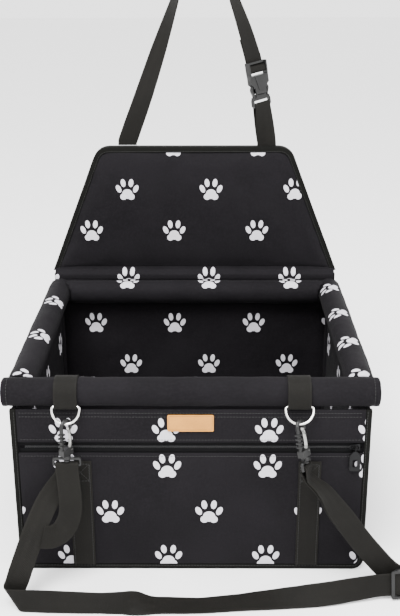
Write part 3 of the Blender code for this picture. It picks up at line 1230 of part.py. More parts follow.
def build_adjuster(carrier):
    """The slide adjuster: a plate with two side bars, and a bar behind for the sewn ply."""
    frame = adjuster_frame()
    face = WEBBING_THICKNESS / 2 + SEAT_GAP
    inner = WEBBING_WIDTH / 2 + ADJUSTER_SIDE_CLEARANCE
    outer = inner + ADJUSTER_RAIL
    long_half = ADJUSTER_SIDE_BAR_PLACE + ADJUSTER_SIDE_BAR_HALF
    window = ADJUSTER_SIDE_BAR_PLACE - ADJUSTER_SIDE_BAR_HALF
    outline = rectangle(-long_half, long_half, -outer, outer, ADJUSTER_SIDE_BAR_HALF)
    hole = rectangle(-window, window, -inner, inner)
    adjuster = add_piece(
        "slide_adjuster", slab_mesh([outline, hole], face, face + ADJUSTER_PLATE), "black_plastic", frame,
    )
    bar_depth = -PLY_SPACING - ADJUSTER_WRAP_RADIUS
    back = bar_depth - ADJUSTER_CENTRE_BAR_RADIUS - ADJUSTER_INSET
    rail_half = long_half - ADJUSTER_SIDE_BAR_HALF
    top = face + ADJUSTER_PLATE / 2
    rail = [
        (-rail_half, top), (-rail_half, face), (-ADJUSTER_BACK_HALF, back), (ADJUSTER_BACK_HALF, back),
        (rail_half, face), (rail_half, top),
    ]
    rail_frame = facing(X_AXIS, Z_AXIS)
    for side in (-1, 1):
        ends = sorted((-side * (inner + ADJUSTER_INSET), -side * (outer - ADJUSTER_INSET)))
        join(adjuster, slab_mesh([rail], *ends, rail_frame))
    reach = inner + ADJUSTER_RAIL / 2
    join(adjuster, rod_mesh(ADJUSTER_CENTRE_BAR_RADIUS, -reach, reach, Y_AXIS, (0, 0, bar_depth), TUBE_STEPS))
    hang_on(adjuster, carrier)


# Backrest, headrest strap and buckle

def backrest_outline(grow, low):
    """The backrest's outline, grown past its sloping sides and its top."""
    rise = BACKREST_TOP - BACKREST_LOW
    slope = (BACKREST_HALF_BOTTOM - BACKREST_HALF_TOP) / rise
    side = grow * math.sqrt(1 + slope ** 2)
    top = BACKREST_TOP + grow
    low_half = BACKREST_HALF_BOTTOM + side + slope * (BACKREST_LOW - low)
    top_half = BACKREST_HALF_TOP + side - slope * grow
    corners = [(-low_half, low), (low_half, low), (top_half, top), (-top_half, top)]
    radius = BACKREST_CORNER + grow
    return rounded_outline(corners, [0, 0, radius, radius])


def build_backrest(carrier):
    outline = backrest_outline(0, BACKREST_LOW)
    border = (BACKREST_BINDING_LIP + 2 * SEAT_GAP) * BACKREST_HALF_BOTTOM / BACKREST_HALF_TOP
    pad_mesh = padded_mesh(outline, -PAD_BACK, -PAD_FACE, FACING_FRONT, border, BACKREST_CROWN)
    pieces = [add_piece("backrest_front_pad", pad_mesh, "printed_fabric", smooth=True)]
    board = slab_mesh([outline], -BOARD_BACK, -PAD_BACK - SEAT_GAP, FACING_FRONT)
    pieces.append(add_piece("backrest_board", board, "stiffener_board"))
    cover = slab_mesh([outline], -COVER_BACK, -BOARD_BACK - SEAT_GAP, FACING_FRONT)
    pieces.append(add_piece("backrest_rear_cover", cover, "printed_fabric"))

    skin = SEAT_GAP + BACKREST_BINDING_SKIN
    outer = backrest_outline(skin, BACKREST_LOW)
    depths = (-COVER_BACK - skin, -PAD_FACE + skin)
    binding = add_piece("backrest_binding", slab_mesh([outer], *depths, FACING_FRONT), "binding_tape")
    below = BACKREST_LOW - CUT_OVERRUN
    groove = slab_mesh(
        [backrest_outline(SEAT_GAP, below)], -COVER_BACK - SEAT_GAP, -PAD_FACE + SEAT_GAP, FACING_FRONT,
    )
    cut(binding, groove)
    window = slab_mesh(
        [backrest_outline(-BACKREST_BINDING_LIP, below)], -COVER_BACK - CUT_OVERRUN, CUT_OVERRUN - PAD_FACE,
        FACING_FRONT,
    )
    cut(binding, window)
    pieces.append(binding)
    for piece in pieces:
        hang_on(piece, carrier)

    cord_half = WALL_SIDE - CREASE_CORD_END
    cord = rod_mesh(CREASE_CORD_RADIUS, -cord_half, cord_half, X_AXIS, (0, CREASE_Y, CREASE_HEIGHT))
    add_piece("backrest_fold_cord", cord, "binding_tape")


def buckle_frame():
    return Matrix.Translation(BUCKLE_ORIGIN) @ Matrix.Rotation(-BUCKLE_LEAN, 4, "Y") @ Matrix.Rotation(
        BUCKLE_TURN, 4, "Z",
    )


def side_route(frame, points):
    """Stations of webbing seen from the buckle's side, from (depth, height)
    points, its outer side to the front where it runs down."""
    turn = frame.to_3x3()
    stations = []
    for index, (depth, height) in enumerate(points):
        ahead = points[min(index + 1, len(points) - 1)]
        behind = points[max(index - 1, 0)]
        along = Vector((ahead[0] - behind[0], ahead[1] - behind[1])).normalized()
        outward = turn @ Vector((0, along.y, -along.x))
        stations.append((frame @ Vector((0, depth, height)), outward))
    return stations


def is_approach(place, frame):
    """Whether a place lies on the strap's stretch just above the ladder, on its right side."""
    local = frame.inverted() @ place
    return place.x > 0 and local.z > LADDER_TOP + 2 * STRAP_BAR_OFFSET


def build_headrest_strap(carrier):
    frame = buckle_frame()
    off = STRAP_BAR_OFFSET
    opening = (LADDER_BAR_HIGH + LADDER_SLOT_HIGH) / 2
    bend = WEBBING_THICKNESS
    wrap = arc_points((0, LADDER_BAR_LOW + STRAP_BAR_HALF_DEPTH), off, math.pi, math.tau, WRAP_STEPS)
    ladder = [
        (off, LADDER_TOP + off), (off, LADDER_SLOT_HIGH), (off - bend / 4, opening + bend), (bend / 2, opening),
        (-bend / 2, opening - bend / 4), (bend / 4 - off, opening - bend), (-off, LADDER_BAR_HIGH),
    ] + wrap + [
        (off + bend / 5, LADDER_BAR_HIGH - bend), (off + bend, LADDER_BAR_HIGH + bend),
        (off + PLY_SPACING, LADDER_SLOT_HIGH), (off + PLY_SPACING, LADDER_TOP),
    ]
    arch = millimetre_stations(ARCH_ROUTE, HEADREST_FOOT)
    foot, outward = arch[0]
    down = [(foot - Z_AXIS * STRAP_LEAD, outward)] + arch
    stations = smooth_stations(down + side_route(frame, ladder))
    approach = [station for station in stations if is_approach(station[0], frame)][::-1]
    tail = [
        (place - outward * PLY_SPACING, -outward) for place, outward in approach
        if (frame.inverted() @ place).z < HEADREST_TAIL_TOP
    ]
    strap = add_piece("headrest_strap", ribbon_mesh(stations + tail), "strap_webbing")
    hang_on(strap, carrier)


def build_anchor_strap(carrier):
    frame = buckle_frame()
    off = STRAP_BAR_OFFSET
    base = Vector((HEADREST_RIGHT_X, 0, BACKREST_TOP + 2 * SEAT_GAP + BACKREST_BINDING_SKIN))
    middle = Vector((0, BUCKLE_ORIGIN.y, 0))
    spread = Y_AXIS * PLY_SPACING / 2
    front = [(base + middle - spread + Z_AXIS * rise, -Y_AXIS) for rise in (0, STRAP_LEAD)]
    back = [(base + middle + spread + Z_AXIS * rise, Y_AXIS) for rise in (STRAP_LEAD, 0)]
    wrap = arc_points((0, PLUG_BAR_TOP - STRAP_BAR_HALF_DEPTH), off, math.pi, 0, WRAP_STEPS)
    over = side_route(frame, [(-off, 0)] + wrap + [(off, 0)])
    over = [(place, -outward) for place, outward in over]
    strap = add_piece("buckle_anchor_strap", ribbon_mesh(smooth_stations(front + over + back)), "strap_webbing")
    hang_on(strap, carrier)


def build_plug(carrier):
    """The plug: a flared base with a webbing bar, a centre guide, and seats for the prongs."""
    frame = buckle_frame()
    side_frame = facing(X_AXIS, Z_AXIS)
    neck = PLUG_NECK_HALF
    half = [
        (BUCKLE_HALF_WIDTH - PLUG_BAR_TOP / 2, 0), (BUCKLE_HALF_WIDTH, PLUG_BAR_TOP / 2),
        (BUCKLE_HALF_WIDTH, PLUG_SLOT_TOP - SEAT_GAP), (PRONG_ROOT_SIDE + 2 * PRONG_ROOT_RADIUS, PLUG_SHOULDER),
        (neck, PLUG_SHOULDER), (neck, PLUG_TOP),
    ]
    slot = rectangle(-STRAP_SLOT_HALF, STRAP_SLOT_HALF, PLUG_BAR_TOP, PLUG_SLOT_TOP)
    mesh = slab_mesh([mirrored_outline(half), slot], -PLUG_HALF_DEPTH, PLUG_HALF_DEPTH, side_frame)
    plug = add_piece("buckle_plug", mesh, "black_plastic", frame)
    bar_half = STRAP_SLOT_HALF + SEAT_GAP
    for side in (-1, 1):
        depths = sorted((side * STRAP_BAR_HALF_DEPTH, side * (PLUG_HALF_DEPTH + CUT_OVERRUN)))
        high = (bar_half, depths[1], PLUG_BAR_TOP + SEAT_GAP)
        cut(plug, block_mesh((-bar_half, depths[0], -CUT_OVERRUN), high))
        seat = (side * PRONG_ROOT_SIDE, 0, PLUG_SHOULDER)
        reach = PLUG_HALF_DEPTH + CUT_OVERRUN
        cut(plug, rod_mesh(PRONG_ROOT_RADIUS + SEAT_GAP, -reach, reach, Y_AXIS, seat))
    guide = [
        (GUIDE_HALF_WIDTH, PLUG_TOP - SEAT_GAP), (GUIDE_HALF_WIDTH, GUIDE_TOP - GUIDE_HALF_WIDTH),
        (GUIDE_HALF_WIDTH / 2, GUIDE_TOP),
    ]
    join(plug, slab_mesh([mirrored_outline(guide)], -GUIDE_HALF_DEPTH, GUIDE_HALF_DEPTH, side_frame))
    hang_on(plug, carrier)


def build_prong(name, side, carrier):
    """A sprung prong of the plug: its root, its finger pad and its barb."""
    frame = buckle_frame()
    thick = PRONG_HALF_THICKNESS
    catch = PRONG_CATCH_SIDE
    centres = [
        (PRONG_ROOT_SIDE, PLUG_SHOULDER), (PRONG_ROOT_SIDE + thick / 2, PLUG_TOP),
        (PRONG_PAD_SIDE, PRONG_PAD_HEIGHT - thick), (PRONG_PAD_SIDE, PRONG_PAD_HEIGHT + thick),
        (catch, SOCKET_SHOULDER - SEAT_GAP), (catch, BARB_LOW - thick),
    ]
    body = strip_outline(centres, [thick] * len(centres))
    outer, inner = body[:len(centres)], body[len(centres):]
    barb = [(catch + thick, BARB_LOW), (BARB_SIDE, BARB_LOW), (PRONG_TIP_SIDE, PRONG_TOP),
            (PRONG_TIP_SIDE - thick, PRONG_TOP), (catch - thick, BARB_LOW)]
    outline = [(side * a, b) for a, b in outer + barb + inner]
    if side < 0:
        outline.reverse()
    side_frame = facing(X_AXIS, Z_AXIS)
    prong = add_piece(
        name, slab_mesh([outline], -PRONG_HALF_DEPTH, PRONG_HALF_DEPTH, side_frame), "black_plastic", frame,
    )
    root = (side * PRONG_ROOT_SIDE, 0, PLUG_SHOULDER)
    root_half = PRONG_HALF_DEPTH - PRONG_ROOT_INSET
    join(prong, rod_mesh(PRONG_ROOT_RADIUS, -root_half, root_half, Y_AXIS, root))
    hang_on(prong, carrier)


def build_socket(carrier):
    """The socket: waisted plates round a cavity with ledges that catch the
    prongs, side openings for the fingers, and a ladder for the webbing."""
    frame = buckle_frame()
    side_frame = facing(X_AXIS, Z_AXIS)
    waist, shoulder = SOCKET_WAIST_HALF, BUCKLE_HALF_WIDTH
    rise = SOCKET_SHOULDER - SOCKET_WAIST_TOP
    flare_shares = ((0.30, 0.12), (0.60, 0.38), (0.85, 0.75), (1, 1))
    half = [(waist, SOCKET_BOTTOM), (waist, SOCKET_WAIST_TOP)]
    half += [
        (waist + (shoulder - waist) * across, SOCKET_WAIST_TOP + rise * up) for up, across in flare_shares
    ]
    half += [(shoulder, LADDER_SLOT_LOW - SEAT_GAP), (LADDER_HALF_WIDTH, LADDER_BAR_LOW + SEAT_GAP),
             (LADDER_HALF_WIDTH, LADDER_TOP - PLATE_RAISE), (LADDER_HALF_WIDTH - PLATE_RAISE, LADDER_TOP)]
    slots = [
        rectangle(-STRAP_SLOT_HALF, STRAP_SLOT_HALF, LADDER_SLOT_LOW, LADDER_BAR_LOW),
        rectangle(-STRAP_SLOT_HALF, STRAP_SLOT_HALF, LADDER_BAR_HIGH, LADDER_SLOT_HIGH),
    ]
    mesh = slab_mesh([mirrored_outline(half)] + slots, -BUCKLE_HALF_DEPTH, BUCKLE_HALF_DEPTH, side_frame)
    socket = add_piece("buckle_socket", mesh, "black_plastic", frame)
    cavity = [
        (BUCKLE_HALF_WIDTH + CUT_OVERRUN, SOCKET_BOTTOM - CUT_OVERRUN),
        (BUCKLE_HALF_WIDTH + CUT_OVERRUN, SOCKET_SHOULDER), (SOCKET_LEDGE_HALF, SOCKET_SHOULDER),
        (SOCKET_LEDGE_HALF, SOCKET_LEDGE_TOP), (SOCKET_CAVITY_HALF, SOCKET_LEDGE_TOP + SOCKET_LEDGE_SLOPE),
        (SOCKET_CAVITY_HALF, SOCKET_CAVITY_TOP),
    ]
    cut(socket, slab_mesh(
        [mirrored_outline(cavity)], -SOCKET_CAVITY_HALF_DEPTH, SOCKET_CAVITY_HALF_DEPTH, side_frame,
    ))
    bar_half = STRAP_SLOT_HALF + SEAT_GAP
    for side in (-1, 1):
        depths = sorted((side * STRAP_BAR_HALF_DEPTH, side * (BUCKLE_HALF_DEPTH + CUT_OVERRUN)))
        low = (-bar_half, depths[0], LADDER_BAR_LOW - SEAT_GAP)
        cut(socket, block_mesh(low, (bar_half, depths[1], LADDER_TOP + CUT_OVERRUN)))
    plate = [
        (PLATE_LOW_HALF, SOCKET_WAIST_TOP), (PLATE_TOP_HALF, LADDER_SLOT_LOW - PLATE_RAISE),
    ]
    join(socket, slab_mesh(
        [mirrored_outline(plate)], BUCKLE_HALF_DEPTH - PLATE_RAISE, BUCKLE_HALF_DEPTH + PLATE_RAISE, side_frame,
    ))
    hang_on(socket, carrier)


# Assembly

def main():
    backrest_axis = axis_empty("backrest_axis", (0, CREASE_Y, CREASE_HEIGHT))
    front_tube_axis = axis_empty("front_tube_axis", FRONT_SLEEVE_CENTRE)
    zipper_axis = axis_empty("zipper_axis", (SLIDER_X, -SLIDER_FACE, ZIP_HEIGHT))
    puller_axis = axis_empty("puller_axis", PULLER_AXIS, zipper_axis)
    frame = buckle_frame()
    plug_axis = axis_empty("plug_axis", frame.translation, backrest_axis)

    build_box()
    build_rim(front_tube_axis)
    build_bindings()
    build_pocket()
    build_slider(zipper_axis, puller_axis)
    left_eye = build_hook_set(
        "left", LEFT_RING_X, LEFT_RING_TILT, LEFT_LEAN_SIDE, LEFT_LEAN_OUT, LEFT_EYE_TURN,
    )
    right_eye = build_hook_set(
        "right", RIGHT_RING_X, RIGHT_RING_TILT, RIGHT_LEAN_SIDE, RIGHT_LEAN_OUT, RIGHT_EYE_TURN,
    )
    build_shoulder_strap(left_eye, right_eye)
    build_adjuster(axis_empty("adjuster_axis", adjuster_frame().translation))

    build_backrest(backrest_axis)
    build_headrest_strap(backrest_axis)
    build_anchor_strap(backrest_axis)
    build_socket(backrest_axis)
    build_plug(plug_axis)
    for name, side in (("left", -1), ("right", 1)):
        root = frame @ Vector((side * PRONG_ROOT_SIDE, 0, PLUG_SHOULDER))
        prong_axis = axis_empty(name + "_prong_axis", root, plug_axis)
        build_prong("buckle_prong_" + name, side, prong_axis)


clear_scene()
SEAT = new_collection("dog_car_seat")
CUTTERS = new_collection("cutters")
main()
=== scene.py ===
import json
import math

import bmesh
import bpy
from bpy.props import FloatProperty, FloatVectorProperty, PointerProperty
from mathutils import Matrix, Vector, noise


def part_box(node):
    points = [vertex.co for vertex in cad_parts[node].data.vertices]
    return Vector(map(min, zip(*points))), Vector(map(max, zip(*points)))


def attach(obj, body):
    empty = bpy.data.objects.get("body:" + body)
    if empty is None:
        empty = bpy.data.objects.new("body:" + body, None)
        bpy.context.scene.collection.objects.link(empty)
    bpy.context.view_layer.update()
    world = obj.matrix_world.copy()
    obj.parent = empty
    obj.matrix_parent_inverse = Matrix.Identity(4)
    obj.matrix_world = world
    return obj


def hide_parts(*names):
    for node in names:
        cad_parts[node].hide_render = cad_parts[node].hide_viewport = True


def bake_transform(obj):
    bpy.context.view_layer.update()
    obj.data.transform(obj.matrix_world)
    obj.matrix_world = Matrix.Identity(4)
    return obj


bl_info = {
    "name": "Dog car seat",
    "version": (1, 0, 0),
    "blender": (4, 5, 0),
    "location": "3D View > Sidebar > Dog seat",
    "description": "Sews the cloth, webbing and stitches of a dog car seat round its packed solids",
    "category": "Object",
}

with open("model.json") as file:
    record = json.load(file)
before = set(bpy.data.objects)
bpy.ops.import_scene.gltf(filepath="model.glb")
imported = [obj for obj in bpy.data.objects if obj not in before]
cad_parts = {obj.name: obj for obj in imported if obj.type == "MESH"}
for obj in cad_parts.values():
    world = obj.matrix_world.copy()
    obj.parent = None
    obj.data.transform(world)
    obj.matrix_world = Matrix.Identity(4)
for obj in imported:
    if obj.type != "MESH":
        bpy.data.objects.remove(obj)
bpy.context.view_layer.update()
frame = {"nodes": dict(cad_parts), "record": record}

FRONT, REAR, RIGHT, UP = Vector((0, -1, 0)), Vector((0, 1, 0)), Vector((1, 0, 0)), Vector((0, 0, 1))


# Sizes and colours that a user would change

def tint(name, description, default):
    """A colour that can be set in the panel."""
    return FloatVectorProperty(
        name=name, description=description, subtype="COLOR", size=3, min=0, max=1, default=default,
    )


def span(name, description, default, low, high):
    """A length that can be set in the panel."""
    return FloatProperty(
        name=name, description=description, subtype="DISTANCE", unit="LENGTH",
        default=default, min=low, max=high,
    )


class SeatCloth(bpy.types.PropertyGroup):
    """The printed cloth, its padding and its thread"""
    colour: tint("Cloth", "Colour of the woven ground", (0.0060, 0.0055, 0.0063))
    print_colour: tint("Print", "Colour of the printed paws", (0.50, 0.485, 0.52))
    binding_colour: tint("Binding", "Colour of the edge binding", (0.0034, 0.0034, 0.0030))
    repeat: span("Repeat", "Distance between paws in one row", 0.111, 0.04, 0.3)
    yarn: span("Yarn", "Pitch of the cloth's weave", 0.0009, 0.0003, 0.004)
    ripple: span("Ripple", "How far the outer cloth waves off its plane", 0.0009, 0, 0.003)
    swell: span("Swell", "The furthest that padding pushes its cover out", 0.0028, 0, 0.008)
    stitch: span("Stitch", "Length of one stitch with its gap", 0.0034, 0.0015, 0.008)


class SeatWebbing(bpy.types.PropertyGroup):
    """The straps"""
    colour: tint("Webbing", "Colour of the straps", (0.0050, 0.0047, 0.0041))
    thickness: span("Thickness", "Thickness of the webbing", 0.0015, 0.0005, 0.004)
    width: span("Width", "Width of the webbing", 0.025, 0.01, 0.06)
    rib: span("Rib", "Pitch of the webbing's weft ribs", 0.0014, 0.0005, 0.005)


class SeatHardware(bpy.types.PropertyGroup):
    """Metal, plastic and leather"""
    nickel: tint("Nickel", "Colour of the rings", (0.83, 0.82, 0.79))
    plastic: tint("Plastic", "Colour of hooks and buckle", (0.0050, 0.0050, 0.0050))
    leather: tint("Label", "Colour of the bare label", (0.45, 0.195, 0.032))
    edge: span("Edge", "Rounding of moulded edges", 0.0003, 0, 0.001)


class SeatStage(bpy.types.PropertyGroup):
    """Floor, lights and camera"""
    floor: tint("Floor", "Colour of the floor", (0.92, 0.92, 0.92))
    key: FloatProperty(name="Key", description="Power of the key light", unit="POWER", default=150, min=0)
    fill: FloatProperty(name="Fill", description="Power of the fill light", unit="POWER", default=26, min=0)
    sky: FloatProperty(name="Sky", description="Strength of the white surroundings", default=2.6, min=0)
    lens: FloatProperty(name="Lens", description="Focal length", unit="CAMERA", default=50, min=10)
    sensor: FloatProperty(name="Sensor", description="Sensor's height", unit="CAMERA", default=30.8, min=5)


# Materials

class Value:
    """A number socket that takes part in sums."""

    def __init__(self, paint, socket):
        self.paint, self.socket = paint, socket

    def math(self, operation, *others):
        return self.paint.node("ShaderNodeMath", {"operation": operation}, [self, *others])

    def __add__(self, other):
        return self.math("ADD", other)

    def __sub__(self, other):
        return self.math("SUBTRACT", other)

    def __rsub__(self, other):
        return self.paint.node("ShaderNodeMath", {"operation": "SUBTRACT"}, [other, self])

    def __mul__(self, other):
        return self.math("MULTIPLY", other)

    def __abs__(self):
        return self.math("ABSOLUTE")

    __radd__ = __add__

    def between(self, low, high):
        """0 below the low value, 1 above the high one, smooth between."""
        settings = {"interpolation_type": "SMOOTHSTEP"}
        return self.paint.node("ShaderNodeMapRange", settings, {0: self, 1: low, 2: high, 3: 0.0, 4: 1.0})


class Paint:
    """One material's nodes."""

    def __init__(self, name):
        self.material = bpy.data.materials.new(name)
        self.material.use_nodes = True
        self.tree = self.material.node_tree
        self.tree.nodes.clear()
        self.place = self.node("ShaderNodeTexCoord", output="Object")

    def node(self, kind, settings=None, inputs=None, output=0):
        made = self.tree.nodes.new(kind)
        for key, value in (settings or {}).items():
            setattr(made, key, value)
        pairs = inputs.items() if isinstance(inputs, dict) else enumerate(inputs or ())
        for key, value in pairs:
            if isinstance(value, Value):
                self.tree.links.new(value.socket, made.inputs[key])
            else:
                made.inputs[key].default_value = value
        return None if output is None else Value(self, made.outputs[output])

    def axes(self, vector):
        return [self.node("ShaderNodeSeparateXYZ", None, [vector], index) for index in range(3)]

    def vector(self, operation, *inputs, output=0):
        return self.node("ShaderNodeVectorMath", {"operation": operation}, inputs, output)

    def join(self, x, y):
        return self.node("ShaderNodeCombineXYZ", None, [x, y, 0.0])

    def cloud(self, size, detail=3.0):
        """Soft noise of one feature size in metres, about 0.5."""
        inputs = {"Vector": self.place, "Scale": 1 / size, "Detail": detail, "Roughness": 0.55}
        return self.node("ShaderNodeTexNoise", None, inputs, "Fac")

    def blend(self, share, first, second):
        """The first colour where the share is 0, the second where it is 1."""
        return self.node("ShaderNodeMix", {"data_type": "RGBA"}, {0: share, 6: first, 7: second}, 2)

    def finish(self, colour, roughness, height=None, **constants):
        """Ends in a Principled shader.  Height is in metres."""
        inputs = {"Base Color": colour, "Roughness": roughness}
        inputs.update({key.replace("_", " "): value for key, value in constants.items()})
        if height is not None:
            bump = {"Strength": 1.0, "Distance": 1.0, "Height": height}
            inputs["Normal"] = self.node("ShaderNodeBump", None, bump)
        shader = self.node("ShaderNodeBsdfPrincipled", None, inputs)
        self.node("ShaderNodeOutputMaterial", None, {"Surface": shader}, None)
        return self.material


def rgba(colour, share=1.0):
    return (*[min(1.0, channel * share) for channel in colour], 1.0)


def weave(across, along, pitch, depth):
    """Height of a plain weave, from two places in metres."""
    warp = (across * (math.tau / pitch)).math("SINE")
    weft = (along * (math.tau / pitch)).math("SINE")
    return warp * weft * depth


# One paw: centre, half sizes and lean of each of its parts in millimetres,
# for its right half
PAW_PARTS = (
    ((5.3, 8.9), (3.15, 5.5), -8), ((11.6, 0.9), (3.2, 5.5), -25),
    ((0.0, -6.3), (6.9, 6.6), 0), ((5.2, -9.9), (4.5, 4.4), 0),
)
PAW_SOFTNESS = 0.03
MILLIMETRE = 0.001
PRINT_END = 0.0005  # How fast a print fades where it ends
ROW_RATIO = 1.045  # The print's repeat upwards, against the one sideways
TAPE_PITCH = 0.0011
WEBBING_CORDS = 0.0012
SELVEDGE = (0.0022, 0.0014)  # Where it starts and is whole, from the edge
LEATHER_GRAIN = 900.0  # Pores in a metre


def paw_print(paint, across, up, start, second, repeat):
    """1 on the paws of a pattern with two rows, 0 on the ground."""
    flat = paint.join(across, up)
    nearest = None
    half_x, half_y = repeat[0] / 2, repeat[1] / 2
    for place in (start, second):
        moved = paint.vector("SUBTRACT", flat, (place[0], place[1], 0.0))
        cell = paint.vector("WRAP", moved, (half_x, half_y, 1.0), (-half_x, -half_y, -1.0))
        x, y, _ = paint.axes(cell)
        folded = paint.join(abs(x), y)
        for (part_x, part_y), (wide, tall), lean in PAW_PARTS:
            mapped = paint.node("ShaderNodeMapping", {"vector_type": "TEXTURE"}, {
                "Vector": folded, "Location": (part_x * MILLIMETRE, part_y * MILLIMETRE, 0.0),
                "Rotation": (0.0, 0.0, math.radians(lean)),
                "Scale": (wide * MILLIMETRE, tall * MILLIMETRE, 1.0),
            })
            reach = paint.vector("LENGTH", mapped, output="Value")
            nearest = reach if nearest is None else nearest.math("MINIMUM", reach)
    return 1 - nearest.between(1 - PAW_SOFTNESS, 1 + PAW_SOFTNESS)


def printed_cloth(name, plane, start, second, turned=None, repeat=None, above=None, below=None):
    """Cloth with its print in one plane, "xz", "yz" or "xy", or round a tube, given as
    (axis, centre, radius), and only above or below a line where one is given."""
    cloth = bpy.context.scene.seat_cloth
    paint = Paint(name)
    axes = dict(zip("xyz", paint.axes(paint.place)))
    if turned is None:
        across, up = axes[plane[0]], axes[plane[1]]
    else:
        axis, (side, height), radius = turned
        other = axes["y" if axis == "x" else "x"] - side
        across, up = axes[axis], (axes["z"] - height).math("ARCTAN2", other) * radius
    paws = paw_print(paint, across, up, start, second, repeat or (cloth.repeat, cloth.repeat * ROW_RATIO))
    if above is not None:
        paws = paws * up.between(above, above + PRINT_END)
    if below is not None:
        paws = paws * (1 - up.between(below, below + PRINT_END))
    wide, fine = paint.cloud(0.09, 2.0), paint.cloud(0.0022, 2.0)
    ground = paint.blend(wide.between(0.3, 0.7), rgba(cloth.colour, 0.86), rgba(cloth.colour, 1.16))
    ground = paint.blend(fine.between(0.35, 0.75) * 0.35, ground, rgba(cloth.colour, 1.9))
    ink = paint.blend(fine.between(0.3, 0.8) * 0.5, rgba(cloth.print_colour), rgba(cloth.print_colour, 0.82))
    colour = paint.blend(paws, ground, ink)
    roughness = 0.62 + wide * 0.12 + paws * 0.08
    folds = paint.cloud(0.035, 3.0) * 0.0012
    height = folds + weave(across, up, cloth.yarn, 0.00005) + paws * 0.00003
    return paint.finish(colour, roughness, height,
                        Specular_IOR_Level=0.02, Sheen_Weight=0.012, Sheen_Roughness=0.45)


def plain_tape(name, colour):
    """Ribbed tape of bindings, zip tapes and corner seams."""
    paint = Paint(name)
    x, y, z = paint.axes(paint.place)
    ribs = weave(x + z, x - z + y, TAPE_PITCH, 0.00004)
    wide, fine = paint.cloud(0.05), paint.cloud(0.0015, 1.0)
    base = paint.blend(wide, rgba(colour, 0.75), rgba(colour, 1.3))
    base = paint.blend(fine.between(0.45, 0.8) * 0.5, base, rgba(colour, 2.0))
    return paint.finish(base, 0.68 + wide * 0.15, ribs + fine * 0.00012,
                        Specular_IOR_Level=0.04, Sheen_Weight=0.01, Sheen_Roughness=0.5)


def strap_webbing():
    """Woven strap, from the UV map across and along it in metres."""
    webbing = bpy.context.scene.seat_webbing
    paint = Paint("strap_webbing")
    uv = paint.node("ShaderNodeUVMap", {"uv_map": "strap"})
    across, along, _ = paint.axes(uv)
    panel = webbing.width / 5
    slope = abs(across.math("WRAP", panel, -panel)) * 0.55
    ribs = ((along + slope) * (math.tau / webbing.rib)).math("SINE")
    cords = (across * (math.tau / WEBBING_CORDS)).math("SINE")
    selvedge = abs(across).between(*[webbing.width / 2 - inset for inset in SELVEDGE])
    wide, fine = paint.cloud(0.06, 3.0), paint.cloud(0.0016, 1.0)
    base = paint.blend(wide.between(0.3, 0.7), rgba(webbing.colour, 0.82), rgba(webbing.colour, 1.18))
    # The rib crests are painted lighter: a painted sheen on the ribs.
    base = paint.blend(ribs.between(-0.2, 1.0) * 0.35, base, rgba(webbing.colour, 1.7))
    # Lighter flecks of yarn all over, and a painted sheen along the selvedges.
    base = paint.blend(fine.between(0.5, 0.85) * 0.4 + selvedge * 0.12, base, rgba(webbing.colour, 2.3))
    height = ribs * 0.00008 * (1 - selvedge * 0.6) + cords * 0.00003 + fine * 0.0001 + wide * 0.0006
    return paint.finish(base, 0.5 + wide * 0.15, height, Specular_IOR_Level=0.05, Sheen_Weight=0.01)


def thread():
    """Dark cotton, a little lighter than the cloth it is sewn in."""
    paint = Paint("sewing_thread")
    fine = paint.cloud(0.0008, 1.0)
    base = paint.blend(fine, rgba((0.006, 0.006, 0.006)), rgba((0.018, 0.018, 0.0175)))
    return paint.finish(base, 0.5 + fine * 0.2, fine * 0.0001, Specular_IOR_Level=0.3)


def bright_metal(name, colour, roughness):
    """Plated or painted metal with faint dulling."""
    paint = Paint(name)
    wide, fine = paint.cloud(0.012, 3.0), paint.cloud(0.0007, 2.0)
    base = paint.blend(wide.between(0.35, 0.8), rgba(colour), rgba(colour, 0.86))
    return paint.finish(base, roughness + wide.between(0.4, 0.8) * 0.14, fine * 0.00001 + wide * 0.00006,
                        Metallic=1.0)


def moulded_plastic(name, colour, roughness=0.34):
    """Black plastic with a fine moulded grain."""
    paint = Paint(name)
    wide, fine = paint.cloud(0.015, 3.0), paint.cloud(0.0005, 2.0)
    base = paint.blend(wide.between(0.3, 0.8), rgba(colour, 0.9), rgba(colour, 1.35))
    base = paint.blend(fine.between(0.62, 0.8) * 0.25, base, rgba(colour, 2.5))
    return paint.finish(base, roughness + wide * 0.16, fine * 0.00002 + wide * 0.0001,
                        Specular_IOR_Level=0.28)


def label_leather():
    """Grained leather of the bare label."""
    colour = bpy.context.scene.seat_hardware.leather
    paint = Paint("label_leather")
    grain = paint.node("ShaderNodeTexVoronoi", {"feature": "DISTANCE_TO_EDGE"},
                       {"Vector": paint.place, "Scale": LEATHER_GRAIN, "Randomness": 1.0}, "Distance")
    wide, fine = paint.cloud(0.02, 4.0), paint.cloud(0.001, 3.0)
    crease = 1 - grain.between(0.02, 0.22)
    base = paint.blend(wide.between(0.25, 0.75), rgba(colour, 0.88), rgba(colour, 1.1))
    # Painted shade in the grain's creases, and darker flecks of the leather itself.
    base = paint.blend(crease * 0.3 + fine.between(0.5, 0.8) * 0.16, base, rgba(colour, 0.62))
    return paint.finish(base, 0.5 + fine * 0.2, fine * 0.00008 - crease * 0.00005, Specular_IOR_Level=0.25)


def board_plastic(name, colour):
    """Plain extruded plastic of tubes and boards."""
    paint = Paint(name)
    wide, fine = paint.cloud(0.04, 3.0), paint.cloud(0.0012, 2.0)
    base = paint.blend(wide, rgba(colour, 0.85), rgba(colour, 1.15))
    return paint.finish(base, 0.5 + wide * 0.2, fine * 0.00004)


# Mesh helpers

WELD = 0.00001


def solid_copy(*nodes):
    """The welded triangles of CAD nodes, for a piece that replaces them."""
    bm = bmesh.new()
    for node in nodes:
        bm.from_mesh(frame["nodes"][node].data)
    bmesh.ops.remove_doubles(bm, verts=bm.verts, dist=WELD)
    return bm


